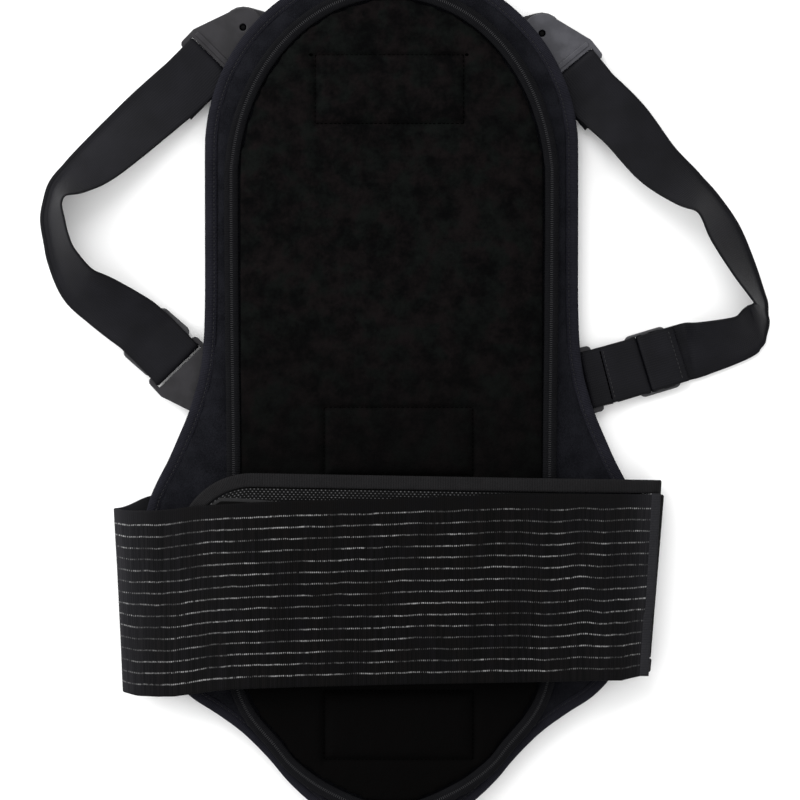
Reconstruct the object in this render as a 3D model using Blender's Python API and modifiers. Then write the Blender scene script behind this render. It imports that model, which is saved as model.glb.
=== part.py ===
# Waist protector lying on its hard shell, body side up: padded panel, fleece pad,
# shoulder straps on moulded anchors, and a waist belt of striped elastic and mesh.
# +Z is up, +Y is towards the shoulders, +X is the photograph's right. Lengths are in metres.
import math

import bmesh
import bpy
from mathutils import Vector

# Clearances
GAP = 0.0003
SLIDE_GAP = 0.0004

# Padded panel
PANEL_LENGTH = 0.583
UPPER_WIDTH = 0.247
HIP_WIDTH = 0.333
PANEL_THICKNESS = 0.008
PANEL_BINDING_WIDTH = 0.0085
PANEL_BINDING_HEIGHT = 0.0065
PANEL_SOFT_EDGE = 0.0022

# Fleece pad
PAD_SIDE_MARGIN = 0.013
PAD_TOP_MARGIN = 0.015
PAD_BOTTOM_MARGIN = 0.017
PAD_ARCH_HEIGHT = 0.1315
PAD_THICKNESS = 0.009
PAD_BINDING_WIDTH = 0.0092
PAD_BINDING_HEIGHT = 0.0055
PAD_SOFT_EDGE = 0.003
STITCH_GROOVE_WIDTH = 0.0014
STITCH_GROOVE_DEPTH = 0.0012
PATCH_LENGTH = 0.098
PATCH_WIDTH = 0.0455

# Hard shell on the floor side
SHELL_THICKNESS = 0.003
SHELL_HIP_WIDTH = 0.230
SHELL_TAIL_MARGIN = 0.030
SHELL_ANCHOR_CLEARANCE = 0.002
SHELL_SOFT_EDGE = 0.0008
LUG_RADIUS = 0.0142
LUG_LENGTH = 0.045

# Webbing
STRAP_WIDTH = 0.038
STRAP_THICKNESS = 0.0016
STRAP_ROLL_BAND = 0.0045
STRAP_REACH_LEFT = 0.093
STRAP_REACH_RIGHT = 0.118
STRAP_TURN_RADIUS = 0.0020
SEWN_BACK_LENGTH = 0.030

# Moulded strap anchors
ANCHOR_THICKNESS = 0.003
ANCHOR_REACH = 0.0293
ANCHOR_END_RADIUS = 0.0132
ANCHOR_RIM = 0.0030
ANCHOR_BAR = 0.0060
ANCHOR_SLOT = 0.0048
ANCHOR_CORNER = 0.003
ANCHOR_LIP_WIDTH = 0.0036
ANCHOR_LIP_HEIGHT = 0.0008
RIVET_HOLE_DIAMETER = 0.0046
RIVET_HEAD_DIAMETER = 0.008
RIVET_HEAD_HEIGHT = 0.001
RIVET_RECESS = 0.0013

# Sliders
SLIDER_BAR = 0.0045
SLIDER_NEAR_SLOT = 0.008
SLIDER_FAR_SLOT = 0.0075
SLIDER_RAIL = 0.003
SLIDER_CORNER = 0.002
SLIDER_OFFSET_LEFT = 0.0095
SLIDER_OFFSET_RIGHT = 0.0319
STITCHED_END = 0.005

# Waist belt
ELASTIC_WIDTH = 0.122
ELASTIC_THICKNESS = 0.002
UNDER_BELT_WIDTH = 0.127
UNDER_BELT_THICKNESS = 0.0016
UNDER_BINDING_WIDTH = 0.0092
UNDER_BINDING_THICKNESS = 0.0026
UNDER_BELT_CORNER = 0.052
WAIST_SLACK = 0.009
LEFT_FOLD_OVERHANG = 0.0084
RIGHT_FOLD_OVERHANG = 0.0052
BELT_SIDE_LIFT = 0.0035
ELASTIC_END = 0.172
UNDER_BELT_TIP = 0.142
BELT_ROOT = 0.030
ELASTIC_LEFT_Y = -0.132
ELASTIC_RIGHT_Y = -0.120
ELASTIC_ROOT_RISE = 0.0085
UNDER_BELT_LEFT_Y = -0.1086
UNDER_BELT_RIGHT_Y = -0.1152

# Places that follow from the sizes above
UPPER_HALF = UPPER_WIDTH / 2
HIP_HALF = HIP_WIDTH / 2
PANEL_TOP = PANEL_LENGTH / 2
ARCH_Y = PANEL_TOP - UPPER_HALF
SIDE_LENGTH = PANEL_LENGTH - UPPER_HALF

ANCHOR_BASE = SHELL_THICKNESS + GAP
ANCHOR_TOP = ANCHOR_BASE + ANCHOR_THICKNESS
STRAP_UPPER_LEVEL = ANCHOR_TOP + SLIDE_GAP + STRAP_THICKNESS / 2
STRAP_LOWER_LEVEL = ANCHOR_BASE - SLIDE_GAP - STRAP_THICKNESS / 2

PANEL_BASE = STRAP_UPPER_LEVEL + STRAP_THICKNESS / 2 + SLIDE_GAP
PANEL_TOP_LEVEL = PANEL_BASE + PANEL_THICKNESS
PAD_BASE = PANEL_TOP_LEVEL + GAP
PAD_TOP_LEVEL = PAD_BASE + PAD_THICKNESS

PAD_HALF = UPPER_HALF - PAD_SIDE_MARGIN
PAD_TOP = PANEL_TOP - PAD_TOP_MARGIN
PAD_ARCH_Y = PAD_TOP - PAD_ARCH_HEIGHT
PAD_SIDE_LENGTH = PAD_ARCH_Y + PANEL_TOP - PAD_BOTTOM_MARGIN

# The panel's flank below its arch: drop down the side, and share of the flare from the upper
# width to the hip width.
FLANK = [
    {"drop": 0.119, "flare": 0.00},
    {"drop": 0.220, "flare": 0.00},
    {"drop": 0.284, "flare": 0.025},
    {"drop": 0.324, "flare": 0.08},
    {"drop": 0.359, "flare": 0.18},
    {"drop": 0.384, "flare": 0.27},
    {"drop": 0.413, "flare": 0.40},
    {"drop": 0.449, "flare": 0.57},
    {"drop": 0.477, "flare": 0.725},
    {"drop": 0.506, "flare": 0.855},
    {"drop": 0.549, "flare": 0.96},
    {"drop": 0.599, "flare": 1.00},
]

# The panel's tail below the hips: drop down the side, and share of the half hip width.
TAIL = [
    {"drop": 0.663, "half": 0.992},
    {"drop": 0.714, "half": 0.950},
    {"drop": 0.757, "half": 0.880},
    {"drop": 0.788, "half": 0.800},
    {"drop": 0.814, "half": 0.690},
    {"drop": 0.842, "half": 0.586},
    {"drop": 0.878, "half": 0.487},
    {"drop": 0.907, "half": 0.420},
    {"drop": 0.934, "half": 0.343},
    {"drop": 0.957, "half": 0.260},
    {"drop": 0.980, "half": 0.166},
    {"drop": 0.995, "half": 0.080},
]

# The pad's side below its arch: drop down the side, and share of its half width.
PAD_SIDE = [
    {"drop": 0.22, "half": 0.995},
    {"drop": 0.45, "half": 0.985},
    {"drop": 0.66, "half": 0.990},
    {"drop": 0.75, "half": 0.990},
    {"drop": 0.797, "half": 0.963},
    {"drop": 0.844, "half": 0.880},
    {"drop": 0.891, "half": 0.730},
    {"drop": 0.923, "half": 0.630},
    {"drop": 0.954, "half": 0.480},
    {"drop": 0.978, "half": 0.310},
    {"drop": 0.994, "half": 0.150},
]

# Left shoulder strap: how far along the line between its two slots, how far out of that line as a
# share of its reach, bank of the ribbon and roll of its outer edge in degrees, and height of the
# outer edge between the lower level (0) and the upper level (1) of the webbing.
LEFT_STRAP = [
    {"along": 0.198, "out": 0.384, "bank": 0, "roll": 10, "edge": 0.90},
    {"along": 0.281, "out": 0.548, "bank": 10, "roll": 30, "edge": 0.60},
    {"along": 0.368, "out": 0.724, "bank": 18, "roll": 35, "edge": 0.30},
    {"along": 0.423, "out": 0.855, "bank": 38, "roll": 30, "edge": 0.10},
    {"along": 0.466, "out": 0.966, "bank": 58, "roll": 20, "edge": 0.00},
    {"along": 0.510, "out": 1.000, "bank": 68, "roll": 12, "edge": 0.00},
    {"along": 0.564, "out": 0.994, "bank": 64, "roll": 18, "edge": 0.00},
    {"along": 0.630, "out": 0.951, "bank": 57, "roll": 22, "edge": 0.00},
    {"along": 0.689, "out": 0.896, "bank": 52, "roll": 26, "edge": 0.00},
    {"along": 0.770, "out": 0.763, "bank": 38, "roll": 32, "edge": 0.10},
    {"along": 0.833, "out": 0.560, "bank": 14, "roll": 22, "edge": 0.55},
]

# Right shoulder strap, with the same columns.
RIGHT_STRAP = [
    {"along": 0.188, "out": 0.284, "bank": 0, "roll": 10, "edge": 0.90},
    {"along": 0.316, "out": 0.449, "bank": 10, "roll": 30, "edge": 0.60},
    {"along": 0.400, "out": 0.610, "bank": 38, "roll": 30, "edge": 0.20},
    {"along": 0.455, "out": 0.725, "bank": 52, "roll": 22, "edge": 0.00},
    {"along": 0.551, "out": 0.816, "bank": 46, "roll": 25, "edge": 0.00},
    {"along": 0.671, "out": 0.912, "bank": 54, "roll": 20, "edge": 0.00},
    {"along": 0.765, "out": 0.980, "bank": 68, "roll": 12, "edge": 0.00},
    {"along": 0.822, "out": 1.000, "bank": 72, "roll": 8, "edge": 0.00},
    {"along": 0.868, "out": 0.960, "bank": 66, "roll": 12, "edge": 0.00},
    {"along": 0.893, "out": 0.860, "bank": 42, "roll": 20, "edge": 0.00},
    {"along": 0.912, "out": 0.675, "bank": 12, "roll": 10, "edge": 0.10},
]

# Where each anchor's rivet is and which way its slot end points. Those at the arch stand out past
# the panel's edge; those at the flanks lie inside it.
ANCHORS = [
    {"name": "upper_left", "side": -1, "arch_turn": 140.5, "outset": 0.0041, "heading": 225.0},
    {"name": "upper_right", "side": 1, "arch_turn": 37.7, "outset": 0.0026, "heading": -50.4},
    {"name": "lower_left", "side": -1, "drop": 0.360, "inset": 0.0114, "heading": 134.0},
    {"name": "lower_right", "side": 1, "drop": 0.348, "inset": 0.0301, "heading": 13.1},
]

# The stitched rectangles: height of each one's middle as a share of the panel's length.
PATCH_PLACES = [0.855, 0.456, 0.136]

# How the belt rises over the pad: share of the way from the middle to the hip's edge, and share of
# the rise from the hip to the crown.
BELT_CROWN = [
    {"way": 0.00, "rise": 1.00},
    {"way": 0.22, "rise": 0.995},
    {"way": 0.44, "rise": 0.955},
    {"way": 0.62, "rise": 0.80},
    {"way": 0.80, "rise": 0.46},
    {"way": 0.92, "rise": 0.14},
    {"way": 1.00, "rise": 0.00},
]

PLASTIC_GREY = (0.045, 0.043, 0.048)
CLOTH_BLACK = (0.008, 0.008, 0.010)
WEB_BLACK = (0.016, 0.016, 0.018)


# Empties the scene and makes the two collections
def start_scene():
    for item in list(bpy.data.objects):
        bpy.data.objects.remove(item, do_unlink=True)
    parts = bpy.data.collections.new("waist_protector")
    cutters = bpy.data.collections.new("cutters")
    bpy.context.scene.collection.children.link(parts)
    bpy.context.scene.collection.children.link(cutters)
    return parts, cutters


def make_material(name, colour, roughness):
    material = bpy.data.materials.new(name)
    material.use_nodes = True
    shader = material.node_tree.nodes["Principled BSDF"]
    shader.inputs["Base Color"].default_value = (*colour, 1.0)
    shader.inputs["Roughness"].default_value = roughness
    shader.inputs["Metallic"].default_value = 0.0
    return material


# Smooth curve through the given points, with the same number of steps between each two
def smooth_through(points, steps):
    padded = [points[0]] + list(points) + [points[-1]]
    result = []
    for index in range(1, len(padded) - 2):
        before, start, end, after = padded[index - 1:index + 3]
        for step in range(steps):
            t = step / steps
            result.append([
                0.5 * (2 * b + (c - a) * t + (2 * a - 5 * b + 4 * c - d) * t * t
                       + (3 * b - a - 3 * c + d) * t * t * t)
                for a, b, c, d in zip(before, start, end, after)
            ])
    result.append(list(points[-1]))
    return result


# Points of an arc, from one angle to another in degrees, both ends included
def arc(centre_x, centre_y, radius, start, end, steps):
    points = []
    for step in range(steps + 1):
        angle = math.radians(start + (end - start) * step / steps)
        points.append((centre_x + radius * math.cos(angle), centre_y + radius * math.sin(angle)))
    return points


# The outline's right half, from the top down, closed by its mirror image
def mirrored(right_half):
    left_half = [(-x, y) for x, y in reversed(right_half) if abs(x) > 1e-6]
    return list(right_half) + left_half


# Moves a closed outline's points inwards by a distance, along its own normals
def inset_outline(outline, distance):
    area = sum(a[0] * b[1] - b[0] * a[1] for a, b in zip(outline, outline[1:] + outline[:1]))
    side = 1 if area > 0 else -1
    moved = []
    for index, point in enumerate(outline):
        before = Vector(outline[index - 1])
        after = Vector(outline[(index + 1) % len(outline)])
        along = (after - before).normalized()
        moved.append((point[0] - side * along.y * distance, point[1] + side * along.x * distance))
    return moved


# Half width of the panel at a drop below its arch, read between the flank's rows
def panel_half_at(drop):
    rows = [{"drop": 0.0, "flare": 0.0}] + FLANK
    for above, below in zip(rows, rows[1:]):
        if above["drop"] <= drop <= below["drop"]:
            share = (drop - above["drop"]) / (below["drop"] - above["drop"])
            flare = above["flare"] + (below["flare"] - above["flare"]) * share
            return UPPER_HALF + (HIP_HALF - UPPER_HALF) * flare
    return HIP_HALF


def panel_outline():
    right = arc(0, ARCH_Y, UPPER_HALF, 90, 0, 15)
    for row in FLANK:
        half = UPPER_HALF + (HIP_HALF - UPPER_HALF) * row["flare"]
        right.append((half, ARCH_Y - row["drop"] * SIDE_LENGTH))
    for row in TAIL:
        right.append((row["half"] * HIP_HALF, ARCH_Y - row["drop"] * SIDE_LENGTH))
    right.append((0.0, -PANEL_TOP))
    return mirrored(right)


def pad_outline():
    right = [(x, PAD_ARCH_Y + y * PAD_ARCH_HEIGHT / PAD_HALF) for x, y in arc(0, 0, PAD_HALF, 90, 0, 14)]
    for row in PAD_SIDE:
        right.append((row["half"] * PAD_HALF, PAD_ARCH_Y - row["drop"] * PAD_SIDE_LENGTH))
    right.append((0.0, PAD_ARCH_Y - PAD_SIDE_LENGTH))
    return mirrored(right)


# The shell's own outline: an arch inside the panel's, a waist clear of the anchors, and hips
def shell_outline(anchors):
    hip = SHELL_HIP_WIDTH / 2
    lower = [anchor for anchor in anchors if "lower" in anchor["name"]]
    arch_points = [point for anchor in anchors if "upper" in anchor["name"]
                   for point in from_anchor(anchor, anchor_outline())]
    waist_points = [point for anchor in lower for point in from_anchor(anchor, anchor_outline())]
    upper = min(math.hypot(x, y - ARCH_Y) for x, y in arch_points) - SHELL_ANCHOR_CLEARANCE
    waist = min(abs(x) for x, y in waist_points) - SHELL_ANCHOR_CLEARANCE
    waist_drop = sum(ARCH_Y - anchor["rivet"].y for anchor in lower) / len(lower)
    bottom = -PANEL_TOP + SHELL_TAIL_MARGIN
    length = ARCH_Y - bottom
    side = smooth_through([
        (upper, ARCH_Y),
        (upper * 0.96, ARCH_Y - waist_drop * 0.45),
        (waist, ARCH_Y - waist_drop * 0.90),
        (waist, ARCH_Y - waist_drop * 1.10),
        (hip * 0.98, ARCH_Y - length * 0.60),
        (hip * 0.96, ARCH_Y - length * 0.72),
        (hip * 0.68, ARCH_Y - length * 0.88),
        (hip * 0.30, ARCH_Y - length * 0.98),
    ], 3)
    right = arc(0, ARCH_Y, upper, 90, 8, 11) + [tuple(point) for point in side]
    right.append((0.0, bottom))
    return mirrored(right)


# Outline round a set of circles (x, y, radius), as a tight string round pegs would lie
def outline_round(circles, steps):
    cloud = []
    for x, y, radius in circles:
        cloud += arc(x, y, radius, 0, 360 - 360 / steps, steps - 1)
    cloud = sorted(set((round(x, 7), round(y, 7)) for x, y in cloud))

    def chain(points):
        hull = []
        for point in points:
            while len(hull) > 1 and turn(hull[-2], hull[-1], point) <= 0:
                hull.pop()
            hull.append(point)
        return hull[:-1]

    return chain(cloud) + chain(cloud[::-1])


def turn(first, second, third):
    return ((second[0] - first[0]) * (third[1] - first[1])
            - (second[1] - first[1]) * (third[0] - first[0]))


# A rectangle with rounded corners, middle at (x, y)
def rounded_box(x, y, length, width, corner, steps):
    half_x = length / 2 - corner
    half_y = width / 2 - corner
    points = []
    for index, (sign_x, sign_y) in enumerate([(1, 1), (-1, 1), (-1, -1), (1, -1)]):
        points += arc(x + sign_x * half_x, y + sign_y * half_y, corner, 90 * index, 90 * index + 90, steps)
    return points


# A flat closed solid between two heights from 2D outlines, inner ones being holes
def flat_solid(name, outlines, low, high, edge, material, collection):
    curve = bpy.data.curves.new(name + "_outline", "CURVE")
    curve.dimensions = "2D"
    curve.fill_mode = "BOTH"
    curve.extrude = (high - low) / 2 - edge
    curve.bevel_depth = edge
    curve.bevel_resolution = 0
    curve.offset = -edge
    for outline in outlines:
        spline = curve.splines.new("POLY")
        spline.points.add(len(outline) - 1)
        for point, (x, y) in zip(spline.points, outline):
            point.co = (x, y, 0, 1)
        spline.use_cyclic_u = True
    drawn = bpy.data.objects.new(name + "_drawn", curve)
    drawn.location.z = (low + high) / 2
    collection.objects.link(drawn)
    bpy.context.view_layer.update()
    mesh = bpy.data.meshes.new_from_object(drawn.evaluated_get(bpy.context.evaluated_depsgraph_get()))
    body = bmesh.new()
    body.from_mesh(mesh)
    bmesh.ops.remove_doubles(body, verts=body.verts, dist=1e-6)
    bmesh.ops.dissolve_degenerate(body, edges=body.edges, dist=1e-7)
    bmesh.ops.recalc_face_normals(body, faces=body.faces)
    body.to_mesh(mesh)
    body.free()
    solid = bpy.data.objects.new(name, mesh)
    solid.matrix_world = drawn.matrix_world.copy()
    collection.objects.link(solid)
    bpy.data.objects.remove(drawn, do_unlink=True)
    bpy.data.curves.remove(curve)
    mesh.materials.clear()
    mesh.materials.append(material)
    return solid


# A closed solid lofted through rings that all have the same number of points
def loft(name, rings, material, collection, closed=False):
    body = bmesh.new()
    rows = [[body.verts.new(point) for point in ring] for ring in rings]
    pairs = list(zip(rows, rows[1:]))
    if closed:
        pairs.append((rows[-1], rows[0]))
    for first, second in pairs:
        for index in range(len(first)):
            after = (index + 1) % len(first)
            body.faces.new((first[index], first[after], second[after], second[index]))
    if not closed:
        body.faces.new(rows[0])
        body.faces.new(rows[-1])
    bmesh.ops.recalc_face_normals(body, faces=body.faces)
    mesh = bpy.data.meshes.new(name)
    body.to_mesh(mesh)
    body.free()
    mesh.materials.append(material)
    solid = bpy.data.objects.new(name, mesh)
    collection.objects.link(solid)
    return solid


# Applies a Boolean with another solid at once, and puts that solid with the cutters
def combine(solid, other, operation, cutters):
    for collection in list(other.users_collection):
        collection.objects.unlink(other)
    cutters.objects.link(other)
    other.hide_render = True
    other.display_type = "WIRE"
    modifier = solid.modifiers.new(operation.lower(), "BOOLEAN")
    modifier.operation = operation
    modifier.solver = "EXACT"
    modifier.object = other


# Finds each anchor's rivet and slot from the panel's outline
def place_anchors():
    placed = []
    for row in ANCHORS:
        heading = math.radians(row["heading"])
        out = Vector((math.cos(heading), math.sin(heading), 0))
        if "arch_turn" in row:
            turned = math.radians(row["arch_turn"])
            distance = UPPER_HALF + row["outset"]
            rivet = Vector((distance * math.cos(turned), ARCH_Y + distance * math.sin(turned), 0))
        else:
            half = panel_half_at(row["drop"]) - row["inset"]
            rivet = Vector((row["side"] * half, ARCH_Y - row["drop"] * SIDE_LENGTH, 0))
        placed.append({
            "name": row["name"],
            "side": row["side"],
            "rivet": rivet,
            "out": out,
            "across": Vector((-out.y, out.x, 0)),
            "slot": rivet + out * ANCHOR_REACH,
        })
    return placed


# Places local points, given along (out) and beside (across) an anchor's slot, in the object
def from_anchor(anchor, points):
    placed = []
    for beside, along in points:
        spot = anchor["slot"] + anchor["out"] * along + anchor["across"] * beside
        placed.append((spot.x, spot.y))
    return placed


# Outline of a strap anchor, which widens from its rivet to its slot, beside and along its axis
def anchor_outline():
    wide = STRAP_WIDTH / 2 + SLIDE_GAP + ANCHOR_RIM - ANCHOR_CORNER
    bar_end = ANCHOR_SLOT / 2 + ANCHOR_BAR - ANCHOR_CORNER
    return outline_round([
        (0, -ANCHOR_REACH, ANCHOR_END_RADIUS),
        (-wide, -ANCHOR_SLOT, ANCHOR_CORNER),
        (wide, -ANCHOR_SLOT, ANCHOR_CORNER),
        (-wide * 0.92, bar_end, ANCHOR_CORNER),
        (wide * 0.92, bar_end, ANCHOR_CORNER),
    ], 24)


# Strap anchor: its plate with slot and rivet hole, and a raised lip by the slot of the upper ones
def make_anchor(anchor, material, parts, cutters):
    slot_half = STRAP_WIDTH / 2 + SLIDE_GAP
    slot = rounded_box(0, 0, 2 * slot_half, ANCHOR_SLOT, ANCHOR_SLOT * 0.2, 1)
    hole = arc(0, -ANCHOR_REACH, RIVET_HOLE_DIAMETER / 2, 0, 330, 11)
    plate = flat_solid("strap_anchor_" + anchor["name"],
                       [from_anchor(anchor, points) for points in (anchor_outline(), slot, hole)],
                       ANCHOR_BASE, ANCHOR_TOP, 0.0, material, parts)
    if "upper" in anchor["name"]:
        lip_place = -ANCHOR_SLOT / 2 - ANCHOR_LIP_WIDTH * 0.7
        lip_outline = rounded_box(0, lip_place, 2 * slot_half, ANCHOR_LIP_WIDTH, ANCHOR_LIP_WIDTH * 0.3, 2)
        lip = flat_solid("lip_" + anchor["name"], [from_anchor(anchor, lip_outline)],
                         ANCHOR_TOP - ANCHOR_THICKNESS / 2, ANCHOR_TOP + ANCHOR_LIP_HEIGHT, 0.0,
                         material, parts)
        combine(plate, lip, "UNION", cutters)
    return plate


# Rivet: a plain turned pin with its head sunk in the lug and its end below the plate's face
def make_rivet(anchor, material, parts):
    shank = RIVET_HOLE_DIAMETER / 2 - GAP
    head = RIVET_HEAD_DIAMETER / 2
    top = ANCHOR_TOP - RIVET_RECESS
    profile = [(0, top), (shank, top), (shank, RIVET_HEAD_HEIGHT + GAP), (head, RIVET_HEAD_HEIGHT + GAP),
               (head, GAP), (0, GAP)]
    mesh = bpy.data.meshes.new("rivet_" + anchor["name"])
    body = bmesh.new()
    points = [body.verts.new((x, 0, z)) for x, z in profile]
    for first, second in zip(points, points[1:]):
        body.edges.new((first, second))
    body.to_mesh(mesh)
    body.free()
    mesh.materials.append(material)
    rivet = bpy.data.objects.new("rivet_" + anchor["name"], mesh)
    rivet.location = (anchor["rivet"].x, anchor["rivet"].y, 0)
    parts.objects.link(rivet)
    screw = rivet.modifiers.new("turned", "SCREW")
    screw.steps = 12
    screw.render_steps = 12
    screw.use_merge_vertices = True
    screw.merge_threshold = 0.00005
    return rivet


# Shell: a flat plate with a lug to each anchor, bored and sunk for the rivets
def make_shell(anchors, material, parts, cutters):
    shell = flat_solid("back_shell", [shell_outline(anchors)], 0, SHELL_THICKNESS, SHELL_SOFT_EDGE,
                       material, parts)
    for anchor in anchors:
        rivet = anchor["rivet"]
        inward = Vector((-rivet.x, 0.35 * (ARCH_Y - rivet.y) if "upper" in anchor["name"] else 0, 0))
        root = rivet + inward.normalized() * LUG_LENGTH
        lug = flat_solid("lug_" + anchor["name"],
                         [outline_round([(rivet.x, rivet.y, LUG_RADIUS), (root.x, root.y, LUG_RADIUS)], 20)],
                         0, SHELL_THICKNESS, SHELL_SOFT_EDGE, material, parts)
        combine(shell, lug, "UNION", cutters)
    for anchor in anchors:
        rivet = anchor["rivet"]
        hole = flat_solid("bore_" + anchor["name"],
                          [arc(rivet.x, rivet.y, RIVET_HOLE_DIAMETER / 2, 0, 330, 11)],
                          -GAP, SHELL_THICKNESS + GAP, 0.0, material, parts)
        combine(shell, hole, "DIFFERENCE", cutters)
        sink = flat_solid("sink_" + anchor["name"],
                          [arc(rivet.x, rivet.y, RIVET_HEAD_DIAMETER / 2 + GAP, 0, 330, 11)],
                          -GAP, RIVET_HEAD_HEIGHT + 2 * GAP, 0.0, material, parts)
        combine(shell, sink, "DIFFERENCE", cutters)
    return shell


# Panel: a thin padded rim and a thicker core that fills the space down to the shell
def make_panel(anchors, material, binding_material, parts, cutters):
    outline = panel_outline()
    inner = inset_outline(outline, PANEL_BINDING_WIDTH + GAP)
    panel = flat_solid("back_panel", [inner], PANEL_BASE, PANEL_TOP_LEVEL, PANEL_SOFT_EDGE, material, parts)
    core_outline = inset_outline(shell_outline(anchors), SHELL_SOFT_EDGE)
    core = flat_solid("panel_core", [core_outline], SHELL_THICKNESS + GAP, PANEL_BASE + PANEL_THICKNESS / 2,
                      0.0, material, parts)
    combine(panel, core, "UNION", cutters)
    middle = PANEL_BASE + PANEL_THICKNESS / 2
    flat_solid("back_panel_binding", [outline, inset_outline(outline, PANEL_BINDING_WIDTH)],
               middle - PANEL_BINDING_HEIGHT / 2, middle + PANEL_BINDING_HEIGHT / 2,
               PANEL_BINDING_HEIGHT * 0.25, binding_material, parts)
    return panel


# Fleece pad with its stitched rectangles, and its binding
def make_pad(material, binding_material, parts, cutters):
    outline = pad_outline()
    inner = inset_outline(outline, PAD_BINDING_WIDTH + GAP)
    pad = flat_solid("inner_pad", [inner], PAD_BASE, PAD_TOP_LEVEL, PAD_SOFT_EDGE, material, parts)
    for index, place in enumerate(PATCH_PLACES):
        y = -PANEL_TOP + place * PANEL_LENGTH
        outer = rounded_box(0, y, PATCH_LENGTH, PATCH_WIDTH, STITCH_GROOVE_WIDTH * 0.7, 1)
        kept = rounded_box(0, y, PATCH_LENGTH - 2 * STITCH_GROOVE_WIDTH,
                           PATCH_WIDTH - 2 * STITCH_GROOVE_WIDTH, STITCH_GROOVE_WIDTH * 0.5, 1)
        groove = flat_solid("stitch_groove_" + str(index + 1), [outer, kept],
                            PAD_TOP_LEVEL - STITCH_GROOVE_DEPTH, PAD_TOP_LEVEL + GAP, 0.0, material, parts)
        combine(pad, groove, "DIFFERENCE", cutters)
    flat_solid("inner_pad_binding", [outline, inset_outline(outline, PAD_BINDING_WIDTH)],
               PAD_BASE, PAD_BASE + PAD_BINDING_HEIGHT, PAD_BINDING_HEIGHT * 0.25, binding_material, parts)
    return pad


# One ring of a strap: its outer edge may be rolled down by a band
def strap_ring(middle, across, normal, roll):
    half = STRAP_WIDTH / 2
    inner = middle + across * half
    fold = middle - across * (half - STRAP_ROLL_BAND)
    rolled = -across * math.cos(roll) - normal * math.sin(roll)
    outer = fold + rolled * STRAP_ROLL_BAND
    lift = normal * (STRAP_THICKNESS / 2)
    return [inner + lift, fold + lift, outer + lift, outer - lift, fold - lift, inner - lift]


# Rings of a flat stretch of strap on an anchor's own axis, through points (along, height); its face
# is up where the path runs outwards (facing 1) or inwards (facing -1)
def axis_rings(anchor, across, path, facing):
    rings = []
    side = 1 if across.cross(anchor["out"] * facing).z > 0 else -1
    for index, (along, height) in enumerate(path):
        before = path[max(index - 1, 0)]
        after = path[min(index + 1, len(path) - 1)]
        direction = anchor["out"] * (after[0] - before[0]) + Vector((0, 0, after[1] - before[1]))
        normal = across.cross(direction.normalized()) * side
        middle = anchor["slot"] + anchor["out"] * along + Vector((0, 0, height))
        rings.append(strap_ring(middle, across, normal, 0.0))
    return rings


# Path of a webbing turn round a bar, seen from the side: in on one level and back on the other
def turn_path(along, side, first_level, second_level):
    radius = STRAP_TURN_RADIUS
    down = 1 if second_level > first_level else -1
    path = []
    for x, z in arc(0, 0, radius, 90, 0, 3):
        path.append((along + side * (radius - x), first_level + down * (radius - z)))
    for x, z in arc(0, 0, radius, 0, -90, 3):
        path.append((along + side * (radius - x), second_level - down * (radius + z)))
    return path


# Rings of the free stretch between two anchors, from a table of places, banks and rolls
def free_rings(start, end, rows, reach, side, lead_in, lead_out):
    line = end["slot"] - start["slot"]
    out = Vector((line.y, -line.x, 0)).normalized()
    if out.x * side < 0:
        out = -out
    level_gap = STRAP_UPPER_LEVEL - STRAP_LOWER_LEVEL
    half_turned = STRAP_WIDTH / 2 - STRAP_ROLL_BAND
    points = []
    for row in [lead_in] + rows + [lead_out]:
        if "spot" in row:
            spot = row["spot"]
        else:
            spot = start["slot"] + line * row["along"] + out * (reach * row["out"])
        bank = math.radians(row["bank"])
        roll = math.radians(row["roll"])
        height = STRAP_LOWER_LEVEL + row["edge"] * level_gap
        height += half_turned * math.sin(bank) + STRAP_ROLL_BAND * math.sin(bank + roll)
        points.append((spot.x, spot.y, height, bank, roll))
    path = smooth_through(points, 3)
    rings = []
    for index, (x, y, z, bank, roll) in enumerate(path):
        before = path[max(index - 1, 0)]
        after = path[min(index + 1, len(path) - 1)]
        heading = Vector((after[0] - before[0], after[1] - before[1], 0)).normalized()
        flat_across = Vector((heading.y, -heading.x, 0)) * side
        across = flat_across * math.cos(bank) + Vector((0, 0, math.sin(bank)))
        normal = Vector((0, 0, math.cos(bank))) - flat_across * math.sin(bank)
        rings.append(strap_ring(Vector((x, y, z)), across, normal, roll))
    return rings


# Across direction at an anchor that points to the strap's inner edge
def inner_across(anchor, other):
    towards = other["slot"] - anchor["slot"]
    across = anchor["across"]
    return across if across.dot(towards) > 0 else -across


# Sewn-back end under an upper anchor, its bar and the way out along the anchor's axis
def upper_end_path():
    under = STRAP_LOWER_LEVEL
    over = STRAP_UPPER_LEVEL
    bar_end = ANCHOR_SLOT / 2 + ANCHOR_BAR
    close = over - STRAP_THICKNESS - SLIDE_GAP
    path = [(bar_end + SEWN_BACK_LENGTH, close), (bar_end + SEWN_BACK_LENGTH * 0.35, close),
            (bar_end, under)]
    path += [(along, height) for along, height in reversed(turn_path(0, 1, over, under))]
    path.append((bar_end, over))
    return path


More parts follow.
